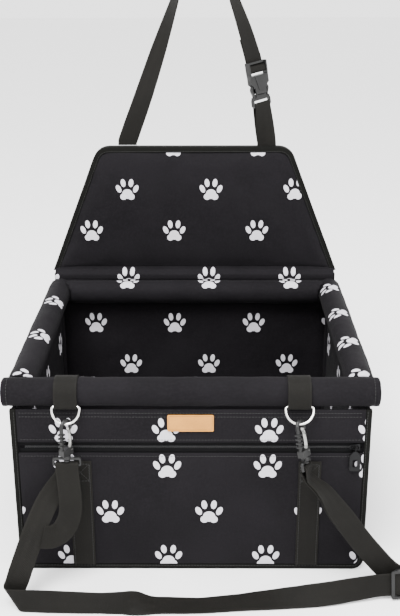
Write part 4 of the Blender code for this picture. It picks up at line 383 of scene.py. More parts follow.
def add_piece(name, bm, finish, body, replaced=(), sharp=None):
    """An object from a bmesh, with its finish, its body, the CAD nodes that it stands
    for, and its edges kept sharp above an angle in degrees."""
    mesh = bpy.data.meshes.new(name)
    bm.to_mesh(mesh)
    bm.free()
    mesh.materials.append(finish)
    for polygon in mesh.polygons:
        polygon.use_smooth = True
    if sharp is not None:
        mesh.set_sharp_from_angle(angle=math.radians(sharp))
    made = bpy.data.objects.new(name, mesh)
    bpy.context.scene.collection.objects.link(made)
    if body:
        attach(made, body)
    if replaced:
        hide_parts(*replaced)
    return made


def loose_object(bm):
    """A short-lived object for a modifier's sake."""
    mesh = bpy.data.meshes.new("loose")
    bm.to_mesh(mesh)
    bm.free()
    loose = bpy.data.objects.new("loose", mesh)
    bpy.context.scene.collection.objects.link(loose)
    return loose


def taken_result(loose):
    """The bmesh of the object with its modifiers, and the object removed."""
    evaluated = loose.evaluated_get(bpy.context.evaluated_depsgraph_get())
    mesh = bpy.data.meshes.new_from_object(evaluated)
    bm = bmesh.new()
    bm.from_mesh(mesh)
    kept = loose.data
    bpy.data.objects.remove(loose)
    bpy.data.meshes.remove(kept)
    bpy.data.meshes.remove(mesh)
    return bm


def remeshed(bm, size, passes=2):
    """Even quads all over a closed form, with its corners eased."""
    loose = loose_object(bm)
    voxels = loose.modifiers.new("voxels", "REMESH")
    voxels.mode, voxels.voxel_size = "VOXEL", size
    bm = taken_result(loose)
    every_way = {"use_axis_x": True, "use_axis_y": True, "use_axis_z": True}
    for _ in range(passes):
        bmesh.ops.smooth_vert(bm, verts=bm.verts, factor=0.5, **every_way)
    return bm


CLOTH_FRAMES = 20
CLOTH_PRESSURE = 4.0
CLOTH_STRETCH, CLOTH_BENDING = 12, 0.4


def swollen(bm, cap):
    """Padding that pushes its cover out, as cloth under pressure, no further than the cap."""
    before = [vert.co.copy() for vert in bm.verts]
    loose = loose_object(bm)
    cloth = loose.modifiers.new("cloth", "CLOTH")
    settings = cloth.settings
    settings.quality = 4
    settings.use_pressure = True
    settings.uniform_pressure_force = CLOTH_PRESSURE
    settings.effector_weights.gravity = 0
    settings.tension_stiffness = settings.compression_stiffness = CLOTH_STRETCH
    settings.bending_stiffness = CLOTH_BENDING
    for step in range(1, CLOTH_FRAMES + 1):
        bpy.context.scene.frame_set(step)
    bm = taken_result(loose)
    bpy.context.scene.frame_set(1)
    for vert, old in zip(bm.verts, before):
        move = vert.co - old
        if move.length > cap:
            vert.co = old + move * (cap / move.length)
    return bm


def sliced(bm, step, axes):
    """Cuts every face where planes a step apart pass, so that it can be bent."""
    for axis in axes:
        low, high = min(vert.co[axis] for vert in bm.verts), max(vert.co[axis] for vert in bm.verts)
        count = max(1, round((high - low) / step))
        normal = Vector([float(index == axis) for index in range(3)])
        for index in range(1, count):
            geometry = bm.verts[:] + bm.edges[:] + bm.faces[:]
            place = normal * (low + (high - low) * index / count)
            bmesh.ops.bisect_plane(bm, geom=geometry, dist=0.000001, plane_co=place, plane_no=normal)
    return bm


def flat_faces(bm):
    """Joins the triangles of each flat face."""
    bmesh.ops.dissolve_limit(bm, angle_limit=math.radians(0.5), verts=bm.verts, edges=bm.edges)
    return bm


def rounded(bm, width, segments=2):
    """Rounds every sharp edge."""
    limit = math.radians(35)
    edges = [edge for edge in bm.edges if len(edge.link_faces) == 2 and edge.calc_face_angle(0) > limit]
    bmesh.ops.bevel(bm, geom=edges, offset=width, offset_type="OFFSET", affect="EDGES", segments=segments,
                    profile=0.5, material=-1, clamp_overlap=True)
    return bm


def cut_cloth(node, edge, step, axes=(0, 2)):
    """A flat CAD solid as cloth that can be bent, with its edges rounded if they aren't yet."""
    bm = flat_faces(solid_copy(node))
    if edge:
        rounded(bm, edge)
    return sliced(bm, step, axes)


def grid_tube(columns, rows, place):
    """A tube from a grid: column and row of each point give its place and its
    UV point.  The last column meets the first, and the ends are filled."""
    bm = bmesh.new()
    made = bmesh.ops.create_grid(bm, x_segments=columns, y_segments=rows - 1, size=1)
    uv = bm.loops.layers.uv.new("strap")
    spots = {}
    for vert in made["verts"]:
        column = round((vert.co.x + 1) / 2 * columns)
        row = round((vert.co.y + 1) / 2 * (rows - 1))
        spots[vert] = place(column % columns, row)
    for vert, (spot, _) in spots.items():
        vert.co = spot
    for face in bm.faces:
        for loop in face.loops:
            loop[uv].uv = spots[loop.vert][1]
    bmesh.ops.remove_doubles(bm, verts=bm.verts, dist=0.0000001)
    bmesh.ops.holes_fill(bm, edges=[edge for edge in bm.edges if edge.is_boundary], sides=0)
    bmesh.ops.recalc_face_normals(bm, faces=bm.faces)
    return bm


# Straps

# The rear half of the webbing's section, in shares of its half width and half
# thickness.  The front half is the same, turned round
WEBBING_REAR = (
    (-1, -0.45), (-0.97, -0.85), (-0.9, -1), (-0.82, -0.9), (0, -0.86), (0.82, -0.9), (0.9, -1),
    (0.97, -0.85), (1, -0.45),
)
WEBBING_PROFILE = WEBBING_REAR + tuple((-across, -rise) for across, rise in WEBBING_REAR)
WEBBING_THINNESS = 0.46  # Half, less the part by which the selvedges stand proud
WEBBING_STEP = 0.004
EDGE_SWAY = 0.00012
SEWN_END = 0.012  # The last part of the sewn-back end, which lies in the stitches


def end_ring(bm):
    """The four corners of one end of a strap's solid, where fewer edges meet than elsewhere."""
    corners = {vert for vert in bm.verts if len(vert.link_edges) < 6}
    ring = set()
    grown = {min(corners, key=lambda vert: vert.index)}
    while grown != ring:
        ring = grown
        grown = ring | {edge.other_vert(vert) for vert in ring for edge in vert.link_edges} & corners
    return ring


def strap_stations(node):
    """Centre, half width and facing direction along a strap's CAD solid, in order."""
    bm = solid_copy(node)
    bm.verts.index_update()
    ring = end_ring(bm)
    seen, rings = set(), []
    while ring:
        seen |= ring
        rings.append(sorted(ring, key=lambda vert: vert.index))
        ring = {edge.other_vert(vert) for vert in ring for edge in vert.link_edges} - seen
    stations = []
    for corners in rings:
        if len(corners) != 4:
            raise RuntimeError(node + " isn't a strap of four-cornered rings")
        first = corners[0]
        pair = min(corners[1:], key=lambda vert: (vert.co - first.co).length)
        others = [vert for vert in corners if vert not in (first, pair)]
        centre = sum((vert.co for vert in corners), Vector()) / 4
        half = (first.co + pair.co) / 2 - centre
        outward = (first.co - pair.co).normalized()
        facing = (others[0].co - others[1].co).normalized()
        outward = (outward + (-facing if facing.dot(outward) < 0 else facing)).normalized()
        if stations:
            half = half if half.dot(stations[-1][1]) > 0 else -half
            outward = outward if outward.dot(stations[-1][2]) > 0 else -outward
        stations.append((centre, half, outward))
    bm.free()
    return stations


def curve_between(before, start, end, after, share):
    """A point of the smooth curve from start to end."""
    square, cube = share * share, share ** 3
    return (start * 2 + (end - before) * share + (before * 2 - start * 5 + end * 4 - after) * square
            + (start * 3 - before - end * 3 + after) * cube) / 2


def finer(stations):
    """Stations with the gaps longer than a step filled along a smooth curve."""
    result = [stations[0]]
    last = len(stations) - 1
    for index in range(last):
        four = [stations[min(last, max(0, index + step))] for step in (-1, 0, 1, 2)]
        count = max(1, round((four[2][0] - four[1][0]).length / WEBBING_STEP))
        for part in range(1, count + 1):
            result.append(tuple(
                curve_between(*[station[what] for station in four], part / count) for what in range(3)
            ))
    return result


def webbing_mesh(stations):
    """Webbing with thick selvedges along stations."""
    webbing = bpy.context.scene.seat_webbing
    stations = finer(stations)
    lengths = [0.0]
    for before, after in zip(stations, stations[1:]):
        lengths.append(lengths[-1] + (after[0] - before[0]).length)
    half_thickness = webbing.thickness * WEBBING_THINNESS

    def place(column, row):
        centre, half, outward = stations[row]
        across, rise = WEBBING_PROFILE[column]
        wander = 1 + noise.noise(Vector((lengths[row] * 90, across, 3))) * EDGE_SWAY / half.length
        spot = centre + half * across * wander + outward.normalized() * rise * half_thickness
        return spot, (across * webbing.width / 2, lengths[row])

    return grid_tube(len(WEBBING_PROFILE), len(stations), place)


def strap_length(stations):
    """The length along the middle of a strap."""
    return sum((after[0] - before[0]).length for before, after in zip(stations, stations[1:]))


# Stitches

def along_line(points, step):
    """Places and directions a step apart along a line."""
    spots = []
    carried = step / 2
    for start, end in zip(points, points[1:]):
        long = (end - start).length
        if long < 0.000001:
            continue
        way = (end - start) / long
        while carried < long:
            spots.append((start + way * carried, way))
            carried += step
        carried -= long
    return spots


THREAD = 0.00032  # Half the thread's thickness


def sew(bm, points, outward):
    """A row of stitches along a line, half sunk in the cloth, facing outward, which
    is a direction or a function of the place."""
    step = bpy.context.scene.seat_cloth.stitch
    shape = Matrix.Diagonal((THREAD, step * 0.41, THREAD * 0.8, 1)) @ Matrix.Rotation(math.pi / 2, 4, "X")
    row = bmesh.new()
    for spot, way in along_line([Vector(point) for point in points], step):
        facing = outward(spot) if callable(outward) else outward
        side = facing.cross(way).normalized()
        turn = Matrix((side, way, facing)).transposed().to_4x4()
        bmesh.ops.create_uvsphere(row, u_segments=6, v_segments=4, radius=1,
                                  matrix=Matrix.Translation(spot) @ turn @ shape)
    mesh = bpy.data.meshes.new("row")
    row.to_mesh(mesh)
    row.free()
    bm.from_mesh(mesh)
    bpy.data.meshes.remove(mesh)


def boxed_cross(centre, half_width, half_height):
    """The lines of a sewn box with a cross in it."""
    corner = [centre + RIGHT * a * half_width + UP * b * half_height
              for a, b in ((-1, -1), (1, -1), (1, 1), (-1, 1))]
    return [corner + corner[:1], [corner[0], corner[2]], [corner[1], corner[3]]]


# Cloth of the box

def box_of(node):
    """The lowest and the highest corner of a CAD node."""
    low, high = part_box(node)
    return Vector(low), Vector(high)


POCKET_LOW, POCKET_HIGH = box_of("pocket_front")
TOP_LOW, TOP_HIGH = box_of("pocket_top")
PANEL_VOXEL = 0.0042
RUMPLE_SCALE, RUMPLE_DEPTH, RUMPLE_EDGE = 13, 0.0012, 0.04
HELD_EDGE = 0.03  # How far from a sewn edge the outer cloth begins to hang free


def pocket_wave(x, z):
    """How far the outer pocket cloth stands off its plane at a place."""
    depth = bpy.context.scene.seat_cloth.ripple
    side = min(x - POCKET_LOW.x, POCKET_HIGH.x - x, z - POCKET_LOW.z)
    zip_edge = min(abs(z - POCKET_HIGH.z), abs(z - TOP_LOW.z), abs(z - TOP_HIGH.z))
    held = min(1, max(0, side) / HELD_EDGE) * min(1, 0.25 + zip_edge / HELD_EDGE)
    roll = noise.noise(Vector((x * 11, 4.2, z * 9))) + 0.5 * noise.noise(Vector((x * 31, 1.7, z * 17)))
    return -depth * held * (0.35 + roll)


def wave_front(bm):
    """Gives a cut mesh the waves of the pocket that it lies on."""
    for vert in bm.verts:
        vert.co.y += pocket_wave(vert.co.x, vert.co.z)
    return bm


def rippled(bm, pitch, depth):
    """Moves a tape's points a little sideways and back, as sewing leaves them."""
    for vert in bm.verts:
        move = Vector((noise.noise(vert.co * pitch), noise.noise(vert.co * pitch + RIGHT), 0))
        vert.co += move * depth
    return bm


def padded_panel(name, node, finish, held=None, body="seat", cap_share=1.0):
    """A foam panel: swollen and rumpled, and flat where it is held against
    a plane, given as (axis, sign)."""
    cloth = bpy.context.scene.seat_cloth
    low, high = box_of(node)
    bm = swollen(remeshed(solid_copy(node), PANEL_VOXEL), cloth.swell * cap_share)
    thin = min(range(3), key=lambda axis: high[axis] - low[axis])
    wide = [axis for axis in range(3) if axis != thin]
    middle = (low + high) / 2
    for vert in bm.verts:
        edge = min(min(vert.co[axis] - low[axis], high[axis] - vert.co[axis]) for axis in wide)
        free = min(1, max(0, edge) / RUMPLE_EDGE)
        roll = noise.fractal(vert.co * RUMPLE_SCALE, 0.9, 2.0, 3)
        vert.co[thin] += math.copysign(roll * RUMPLE_DEPTH * free, vert.co[thin] - middle[thin])
        if held is None:
            continue
        axis, sign = held
        limit = high[axis] if sign > 0 else low[axis]
        if (vert.co[axis] - limit) * sign > 0:
            vert.co[axis] = limit
    add_piece(name, bm, finish, body, (node,))


# A seam down each corner closes the gap between the rounded ends of two
# walls.  It stands at this place to both sides, from its foot up
CORNER_X, CORNER_Y = 0.1893, 0.1682
CORNER_FOOT, CORNER_HEIGHT, CORNER_RADIUS = 0.003, 0.1955, 0.0058
FRONT_PRINT_END = 0.165  # The front wall shows no print over the pocket


class SEAT_OT_walls(bpy.types.Operator):
    """Swells the four padded walls and the floor cushion, and lays the base cloth under them"""
    bl_idname = "seat.walls"
    bl_label = "Walls and floor"
    bl_options = {"REGISTER", "UNDO"}

    def execute(self, context):
        front = printed_cloth("front_wall_cloth", "xz", (-0.026, 0.133), (0.0205, 0.0755),
                              below=FRONT_PRINT_END)
        back = printed_cloth("back_wall_cloth", "xz", (0.083, 0.168), (0.131, 0.105))
        side = printed_cloth("side_wall_cloth", "yz", (0.012, 0.152), (0.066, 0.094))
        floor = printed_cloth("floor_cloth", "xy", (0.0, 0.03), (0.055, -0.025))
        padded_panel("front_wall_padding", "front_wall", front, (1, -1))
        padded_panel("back_wall_padding", "back_wall", back, (1, 1))
        padded_panel("left_wall_padding", "left_wall", side)
        padded_panel("right_wall_padding", "right_wall", side)
        padded_panel("floor_cushion", "floor_pad", floor, (2, -1), cap_share=1.3)
        corners = bmesh.new()
        for x in (-CORNER_X, CORNER_X):
            for y in (-CORNER_Y, CORNER_Y):
                place = Matrix.Translation((x, y, CORNER_FOOT + CORNER_HEIGHT / 2))
                bmesh.ops.create_cone(corners, cap_ends=True, segments=16, radius1=CORNER_RADIUS,
                                      radius2=CORNER_RADIUS, depth=CORNER_HEIGHT, matrix=place)
        lining = plain_tape("corner_seam_tape", context.scene.seat_cloth.colour)
        add_piece("corner_seams", corners, lining, "seat", sharp=50)
        bm = cut_cloth("base_cover", 0.0004, 0.012, (0, 1))
        for vert in bm.verts:
            if vert.co.z > 0.001:
                vert.co.z += 0.0002 * noise.noise(vert.co * 40)
        low, high = box_of("base_cover")
        base = add_piece("base_cloth", bm, floor, "seat", ("base_cover",), sharp=40)
        return {"FINISHED"}


# The crease strip carries the upper half of the paws that the rear tunnel's
# print continues, so that print ends here, as a length round the tunnel
REAR_PRINT_END = -0.0205
RIM_RADIUS, RIM_HEIGHT = 0.016, 0.218
FRONT_RIM_Y, REAR_RIM_Y, SIDE_RIM_X = -0.1685, 0.1527, 0.186
# Each tunnel's axis, the place of its middle, the radius round which its print
# turns, where the print starts and how it repeats
TUNNELS = {
    "front_sleeve": ("x", FRONT_RIM_Y, RIM_RADIUS, (0.0, 0.004), 0.111),
    "rear_sleeve": ("x", REAR_RIM_Y, -RIM_RADIUS, (0.0201, -0.0258), 0.1117),
    "left_sleeve": ("y", -SIDE_RIM_X, RIM_RADIUS, (0.0772, 0.020), 0.118),
    "right_sleeve": ("y", SIDE_RIM_X, RIM_RADIUS, (0.1275, 0.030), 0.095),
}
TUNNEL_VOXEL = 0.0026
PUCKERS, PUCKER_DEPTH, PUCKER_LENGTH = 14, 0.0003, 0.012
HEM_INSET, HEM_DEPTH, HEM_WIDTH = 0.0076, 0.0006, 0.0012
TUNNEL_ROLL = 0.0008
TUNNEL_HOLE = 0.0135  # The cloth inside this radius lies on the tube and stays smooth


class SEAT_OT_rim(bpy.types.Operator):
    """Makes the four round cloth tunnels of the rim"""
    bl_idname = "seat.rim"
    bl_label = "Rim"
    bl_options = {"REGISTER", "UNDO"}

    def execute(self, context):
        for node, (axis, middle, radius, start, repeat) in TUNNELS.items():
            turned = (axis, (middle, RIM_HEIGHT), radius)
            below = REAR_PRINT_END if node == "rear_sleeve" else None
            finish = printed_cloth(node + "_cloth", None, start, start, turned, (repeat, repeat),
                                   below=below)
            bm = remeshed(solid_copy(node), TUNNEL_VOXEL, passes=3)
            low, high = box_of(node)
            along, across = (0, 1) if axis == "x" else (1, 0)
            for vert in bm.verts:
                out = Vector((0, 0, vert.co.z - RIM_HEIGHT))
                out[across] = vert.co[across] - middle
                if out.length < TUNNEL_HOLE:
                    continue
                angle = math.atan2(out.z, out[across])
                end = min(vert.co[along] - low[along], high[along] - vert.co[along])
                gathers = math.sin(angle * PUCKERS + noise.noise(vert.co * 30) * 4)
                pucker = gathers * PUCKER_DEPTH * math.exp(-end / PUCKER_LENGTH)
                groove = -HEM_DEPTH * math.exp(-((end - HEM_INSET) / HEM_WIDTH) ** 2)
                place = Vector((vert.co.x, vert.co.y, vert.co.z * 1.4)) * 21
                roll = noise.fractal(place, 0.9, 2.0, 3) * TUNNEL_ROLL
                vert.co += out.normalized() * (pucker + groove + roll)
            add_piece(node + "_tunnel", bm, finish, "seat", (node,))
        return {"FINISHED"}


ZIP_MIDDLE = 0.1555
ZIP_TAPE = (0.0017, 0.012)  # Its near and far edge from the zip's middle
TOOTH = (0.0010, 0.00116, 0.0026)
TOOTH_PITCH, TOOTH_SHIFT = 0.0024, 0.0005
TEETH_INSET = 0.006
BAND_STATIONS = 17


def block(bm, middle, size):
    """Adds a box of one size round its middle."""
    bmesh.ops.create_cube(bm, size=1, matrix=Matrix.Translation(middle) @ Matrix.Diagonal((*size, 1)))


class SEAT_OT_pocket(bpy.types.Operator):
    """Makes the pocket's two panels, the zip's tapes and teeth, the bare label and the two sewn bands"""
    bl_idname = "seat.pocket"
    bl_label = "Pocket"
    bl_options = {"REGISTER", "UNDO"}

    def execute(self, context):
        lower = printed_cloth("pocket_cloth", "xz", (-0.026, 0.1335), (0.0200, 0.0755),
                              repeat=(0.1103, 0.116))
        upper = printed_cloth("pocket_top_cloth", "xz", (-0.0265, 0.1775), (0.028, 0.2360),
                              repeat=(0.1115, 0.117))
        tape = plain_tape("zip_tape", (0.0022, 0.0022, 0.0024))
        for node, finish in (("pocket_front", lower), ("pocket_top", upper)):
            bm = wave_front(cut_cloth(node, 0.0009, 0.0055))
            low, high = box_of(node)
            panel = add_piece(node + "_panel", bm, finish, "seat", (node,), sharp=50)
        for side, node in ((1, "zipper_tape_upper"), (-1, "zipper_tape_lower")):
            low, high = box_of(node)
            middle = (low + high) / 2
            foot, top = sorted(ZIP_MIDDLE + side * edge for edge in ZIP_TAPE)
            bm = bmesh.new()
            block(bm, (middle.x, middle.y, (foot + top) / 2), (high.x - low.x, high.y - low.y, top - foot))
            bm = sliced(rounded(bm, 0.0003), 0.006, (0, 2))
            for vert in bm.verts:
                vert.co.y += 0.0001 * noise.noise(vert.co * 60)
            add_piece(node + "_cloth", bm, tape, "seat", (node,), sharp=40)
        low, high = box_of("zipper_tape_upper")
        bm = bmesh.new()
        count = int((high.x - low.x - 2 * TEETH_INSET) / TOOTH_PITCH)
        for index in range(count):
            for side in (-1, 1):
                x = low.x + TEETH_INSET + TOOTH_PITCH * (index + (0.5 if side > 0 else 0))
                block(bm, (x, (low.y + high.y) / 2, ZIP_MIDDLE + side * TOOTH_SHIFT), TOOTH)
        nylon = moulded_plastic("zip_teeth_nylon", (0.008, 0.008, 0.0085), 0.3)
        add_piece("zip_teeth", rounded(bm, 0.00025, segments=1), nylon, "seat")
        bm = wave_front(cut_cloth("label_patch", 0.00022, 0.004))
        add_piece("bare_label", bm, label_leather(), "seat", ("label_patch",), sharp=40)
        webbing = strap_webbing()
        for node in ("left_webbing_band", "right_webbing_band"):
            low, high = box_of(node)
            middle = (low + high) / 2
            stations = []
            for index in range(BAND_STATIONS + 1):
                z = low.z + (high.z - low.z) * index / BAND_STATIONS
                spot = Vector((middle.x, middle.y + pocket_wave(middle.x, z), z))
                stations.append((spot, RIGHT * context.scene.seat_webbing.width / 2, FRONT))
            add_piece(node + "_sewn", webbing_mesh(stations), webbing, "seat", (node,), sharp=60)
        return {"FINISHED"}


class SEAT_OT_bindings(bpy.types.Operator):
    """Binds the edges of the box"""
    bl_idname = "seat.bindings"
    bl_label = "Bindings"
    bl_options = {"REGISTER", "UNDO"}

    def execute(self, context):
        tape = plain_tape("binding_tape", context.scene.seat_cloth.binding_colour)
        for node in ("front_binding", "rear_binding"):
            bm = rippled(cut_cloth(node, None, 0.007), 45, 0.00022)
            add_piece(node + "_tape", bm, tape, "seat", (node,), sharp=50)
        return {"FINISHED"}


# The backrest is narrower at the top.  Its print starts above the crease
BACK_LOW, BACK_HIGH, BACK_CORNER = 0.2423, 0.4135, 0.022
BACK_HALF_LOW, BACK_HALF_HIGH = 0.195, 0.128
BACK_PRINT_START = 0.262
BACK_WAVE = 0.0007
SEAM_INSET = 0.0048  # From the outer edge of a binding
SEAM_FOOT = 0.2445
CREASE_PAW = (0.0201, 0.2325)
CREASE_HALF_WIDTH = 0.1935
CREASE_ROLL, CREASE_THICKNESS = 0.0011, 0.0007
# The folded strips of the crease in section, as (y, z)
CREASE_FRONT = ((0.1680, 0.2325), (0.1683, 0.2380), (0.1712, 0.2412), (0.1742, 0.2435), (0.1751, 0.2480))
CREASE_REAR = ((0.1787, 0.2290), (0.1805, 0.2360), (0.1863, 0.2408), (0.1869, 0.2500))


def backrest_seam(y):
    """The line of the backrest's seam, from its left foot to its right one."""
    slope = (BACK_HALF_LOW - BACK_HALF_HIGH) / (BACK_HIGH - BACK_LOW)
    out = SEAM_INSET * math.hypot(1, slope)
    foot = BACK_HALF_LOW - out - slope * (SEAM_FOOT - BACK_LOW)
    shoulder = BACK_HALF_HIGH + slope * SEAM_INSET - out
    top = BACK_HIGH - SEAM_INSET
    corners = [(-foot, SEAM_FOOT), (-shoulder, top), (shoulder, top), (foot, SEAM_FOOT)]
    return rounded_line(corners, BACK_CORNER - SEAM_INSET, y)


def rounded_line(corners, radius, y):
    """A line in an upright plane through corners that are rounded."""
    steps = 8
    flat = [Vector((x, y, z)) for x, z in corners]
    points = [flat[0]]
    for before, corner, after in zip(flat, flat[1:], flat[2:]):
        back, on = (before - corner).normalized(), (after - corner).normalized()
        reach = radius / math.tan(back.angle(on) / 2)
        start, end = corner + back * reach, corner + on * reach
        for index in range(steps + 1):
            share = index / steps
            points.append(start * (1 - share) ** 2 + corner * 2 * share * (1 - share) + end * share ** 2)
    return points + [flat[-1]]


def folded_strip(name, profile, finish, replaced=()):
    """A strip of cloth across the crease."""
    bm = bmesh.new()
    columns, rows = 90, 12
    made = bmesh.ops.create_grid(bm, x_segments=columns, y_segments=rows, size=1)
    reach = len(profile) - 1
    for vert in made["verts"]:
        share = (vert.co.y + 1) / 2 * reach
        index = min(reach - 1, int(share))
        four = [Vector(profile[min(reach, max(0, index + step))]) for step in (-1, 0, 1, 2)]
        y, z = curve_between(*four, share - index)
        x = vert.co.x * CREASE_HALF_WIDTH
        free = math.sin(math.pi * share / reach)
        roll = noise.noise(Vector((x * 26, y * 60, z * 60))) * CREASE_ROLL * free
        vert.co = (x, y - abs(roll), z + roll * 0.6)
    bmesh.ops.solidify(bm, geom=bm.faces[:], thickness=CREASE_THICKNESS)
    bmesh.ops.recalc_face_normals(bm, faces=bm.faces)
    strip = add_piece(name, bm, finish, None, replaced, sharp=60)
    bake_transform(strip)
    long = sum((Vector(b) - Vector(a)).length for a, b in zip(profile, profile[1:]))


class SEAT_OT_backrest(bpy.types.Operator):
    """Makes the backrest's cushion, rear cloth, binding and the cloth over its crease"""
    bl_idname = "seat.backrest"
    bl_label = "Backrest"
    bl_options = {"REGISTER", "UNDO"}

    def execute(self, context):
        cloth = printed_cloth("backrest_cloth", "xz", (-0.0275, 0.3005), (0.0228, 0.358),
                              repeat=(0.113, 0.1165), above=BACK_PRINT_START)
        strip = printed_cloth("crease_strip_cloth", "xz", CREASE_PAW, CREASE_PAW, repeat=(0.1117, 0.1117))
        plain = plain_tape("crease_rear_tape", context.scene.seat_cloth.binding_colour)
        tape = plain_tape("backrest_binding_tape", context.scene.seat_cloth.binding_colour)
        padded_panel("backrest_cushion", "backrest_front_pad", cloth, (1, 1), "backrest")
        bm = cut_cloth("backrest_rear_cover", 0.0004, 0.008)
        for vert in bm.verts:
            edge = min(vert.co.z - BACK_LOW, BACK_HIGH - vert.co.z)
            roll = noise.noise(Vector((vert.co.x * 14, 2, vert.co.z * 14)))
            vert.co.y += BACK_WAVE * min(1, edge / HELD_EDGE) * (0.5 + roll)
        low, high = box_of("backrest_rear_cover")
        rear = add_piece("backrest_rear_cloth", bm, cloth, "backrest", ("backrest_rear_cover",), sharp=50)
        bm = rippled(cut_cloth("backrest_binding", 0.0004, 0.007), 40, 0.00025)
        add_piece("backrest_edge_tape", bm, tape, "backrest", ("backrest_binding",), sharp=50)
        folded_strip("crease_cloth_front", CREASE_FRONT, strip, ("backrest_fold_cord",))
        folded_strip("crease_cloth_rear", CREASE_REAR, plain)
        return {"FINISHED"}


class SEAT_OT_straps(bpy.types.Operator):
    """Weaves the straps and the tabs that hold the rings"""
    bl_idname = "seat.straps"
    bl_label = "Straps"
    bl_options = {"REGISTER", "UNDO"}

    def execute(self, context):
        webbing = strap_webbing()

        def strap(name, stations, body, replaced=()):
            return add_piece(name, webbing_mesh(stations), webbing, body, replaced, 60)

        for node in ("left_ring_loop", "right_ring_loop"):
            strap(node + "_tab", strap_stations(node), "seat", (node,))
        strap("headrest_webbing", strap_stations("headrest_strap"), "backrest", ("headrest_strap",))
        anchor = strap("anchor_webbing", strap_stations("buckle_anchor_strap"), None,
                       ("buckle_anchor_strap",))
        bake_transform(anchor)

        stations = strap_stations("shoulder_strap")
        if stations[0][0].x < stations[-1][0].x:
            stations.reverse()
        crown = max(range(len(stations)), key=lambda index: stations[index][0].z)
        main = stations[:crown + 1]
        shoulder = strap("shoulder_webbing", main, None, ("shoulder_strap",))
        end = stations[-1][0]
        sewn_back = [station for station in stations[crown:] if (station[0] - end).length > SEWN_END]
        tail = strap("shoulder_webbing_tail", sewn_back, None, ())
        for piece in (shoulder, tail):
            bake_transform(piece)
        tuple(main[0][0])
        strap_length(main)
        [tuple(station[0]) for station in main]
        for node in ("adjuster_loop_outer", "adjuster_loop_inner"):
            stations = strap_stations(node)
            if stations[0][0].z < stations[-1][0].z:
                stations.reverse()
            ply = strap(node + "_webbing", stations, None, (node,))
            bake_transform(ply)
            tuple(stations[0][0])
            strap_length(stations)
            [tuple(station[0]) for station in stations]
        return {"FINISHED"}


BOX_HALF_WIDTH, BOX_CORNER = 0.1955, 0.0125
# Where the seams of the bindings lie, and how far up those of the box go
FRONT_SEAM_Y, FRONT_SEAM_TOP = -0.1806, 0.199
REAR_SEAM_Y, REAR_SEAM_TOP = 0.1781, 0.235
CUSHION_SEAM_Y, COVER_SEAM_Y = 0.1746, 0.1873
HEM_X, HEM_RADIUS, HEM_POINTS = 0.1969, 0.0157, 48
POCKET_SEAM_HALF = 0.186
BAND_LIFT = 0.0018  # From the pocket's face to the bands' own
BAND_SEAM_INSET, BAND_SEAM_DROP = 0.0022, 0.003
CROSS_DROP, CROSS_HALF_WIDTH, CROSS_HALF_HEIGHT = 0.014, 0.0095, 0.0105


def binding_seam(y, top):
    """The line of a box binding's seam, from its left top round the base to its right top."""
    half = BOX_HALF_WIDTH - SEAM_INSET
    corners = [(-half, top), (-half, SEAM_INSET), (half, SEAM_INSET), (half, top)]
    return rounded_line(corners, BOX_CORNER - SEAM_INSET, y)


class SEAT_OT_stitches(bpy.types.Operator):
    """Sews the seams of the box and of the backrest"""
    bl_idname = "seat.stitches"
    bl_label = "Stitches"
    bl_options = {"REGISTER", "UNDO"}

    def execute(self, context):
        cotton = thread()
        seat = bmesh.new()
        sew(seat, binding_seam(FRONT_SEAM_Y, FRONT_SEAM_TOP), FRONT)
        sew(seat, binding_seam(REAR_SEAM_Y, REAR_SEAM_TOP), REAR)

        def on_pocket(x, z, lift=0.0):
            return Vector((x, POCKET_LOW.y + pocket_wave(x, z) - 0.00005 - lift, z))

        for z in (POCKET_HIGH.z - 0.0035, TOP_LOW.z + 0.0035, TOP_HIGH.z - 0.004, TOP_HIGH.z - 0.0085):
            spots = [on_pocket(POCKET_SEAM_HALF * (index / 30 - 1), z) for index in range(61)]
            sew(seat, spots, FRONT)
        for node in ("left_webbing_band", "right_webbing_band"):
            low, high = box_of(node)
            long = high.z - BAND_SEAM_DROP - low.z
            for x in (low.x + BAND_SEAM_INSET, high.x - BAND_SEAM_INSET):
                spots = [on_pocket(x, low.z + long * index / 20, BAND_LIFT) for index in range(21)]
                sew(seat, spots, FRONT)
            middle = on_pocket((low.x + high.x) / 2, high.z - CROSS_DROP, BAND_LIFT)
            for line in boxed_cross(middle, CROSS_HALF_WIDTH, CROSS_HALF_HEIGHT):
                sew(seat, line, FRONT)

        def off_the_tunnel(spot):
            return Vector((0, spot.y - FRONT_RIM_Y, spot.z - RIM_HEIGHT)).normalized()

        for end in (-HEM_X, HEM_X):
            ring = []
            for index in range(HEM_POINTS + 1):
                turn = math.tau * index / HEM_POINTS
                y = FRONT_RIM_Y + HEM_RADIUS * math.cos(turn)
                ring.append(Vector((end, y, RIM_HEIGHT + HEM_RADIUS * math.sin(turn))))
            sew(seat, ring, off_the_tunnel)
        add_piece("seat_stitches", seat, cotton, "seat")

        back = bmesh.new()
        sew(back, backrest_seam(CUSHION_SEAM_Y), FRONT)
        sew(back, backrest_seam(COVER_SEAM_Y), REAR)
        add_piece("backrest_stitches", back, cotton, "backrest")
        return {"FINISHED"}


SLIM_EDGE = 0.4  # Share of the rounding that the thin gates and hooks get


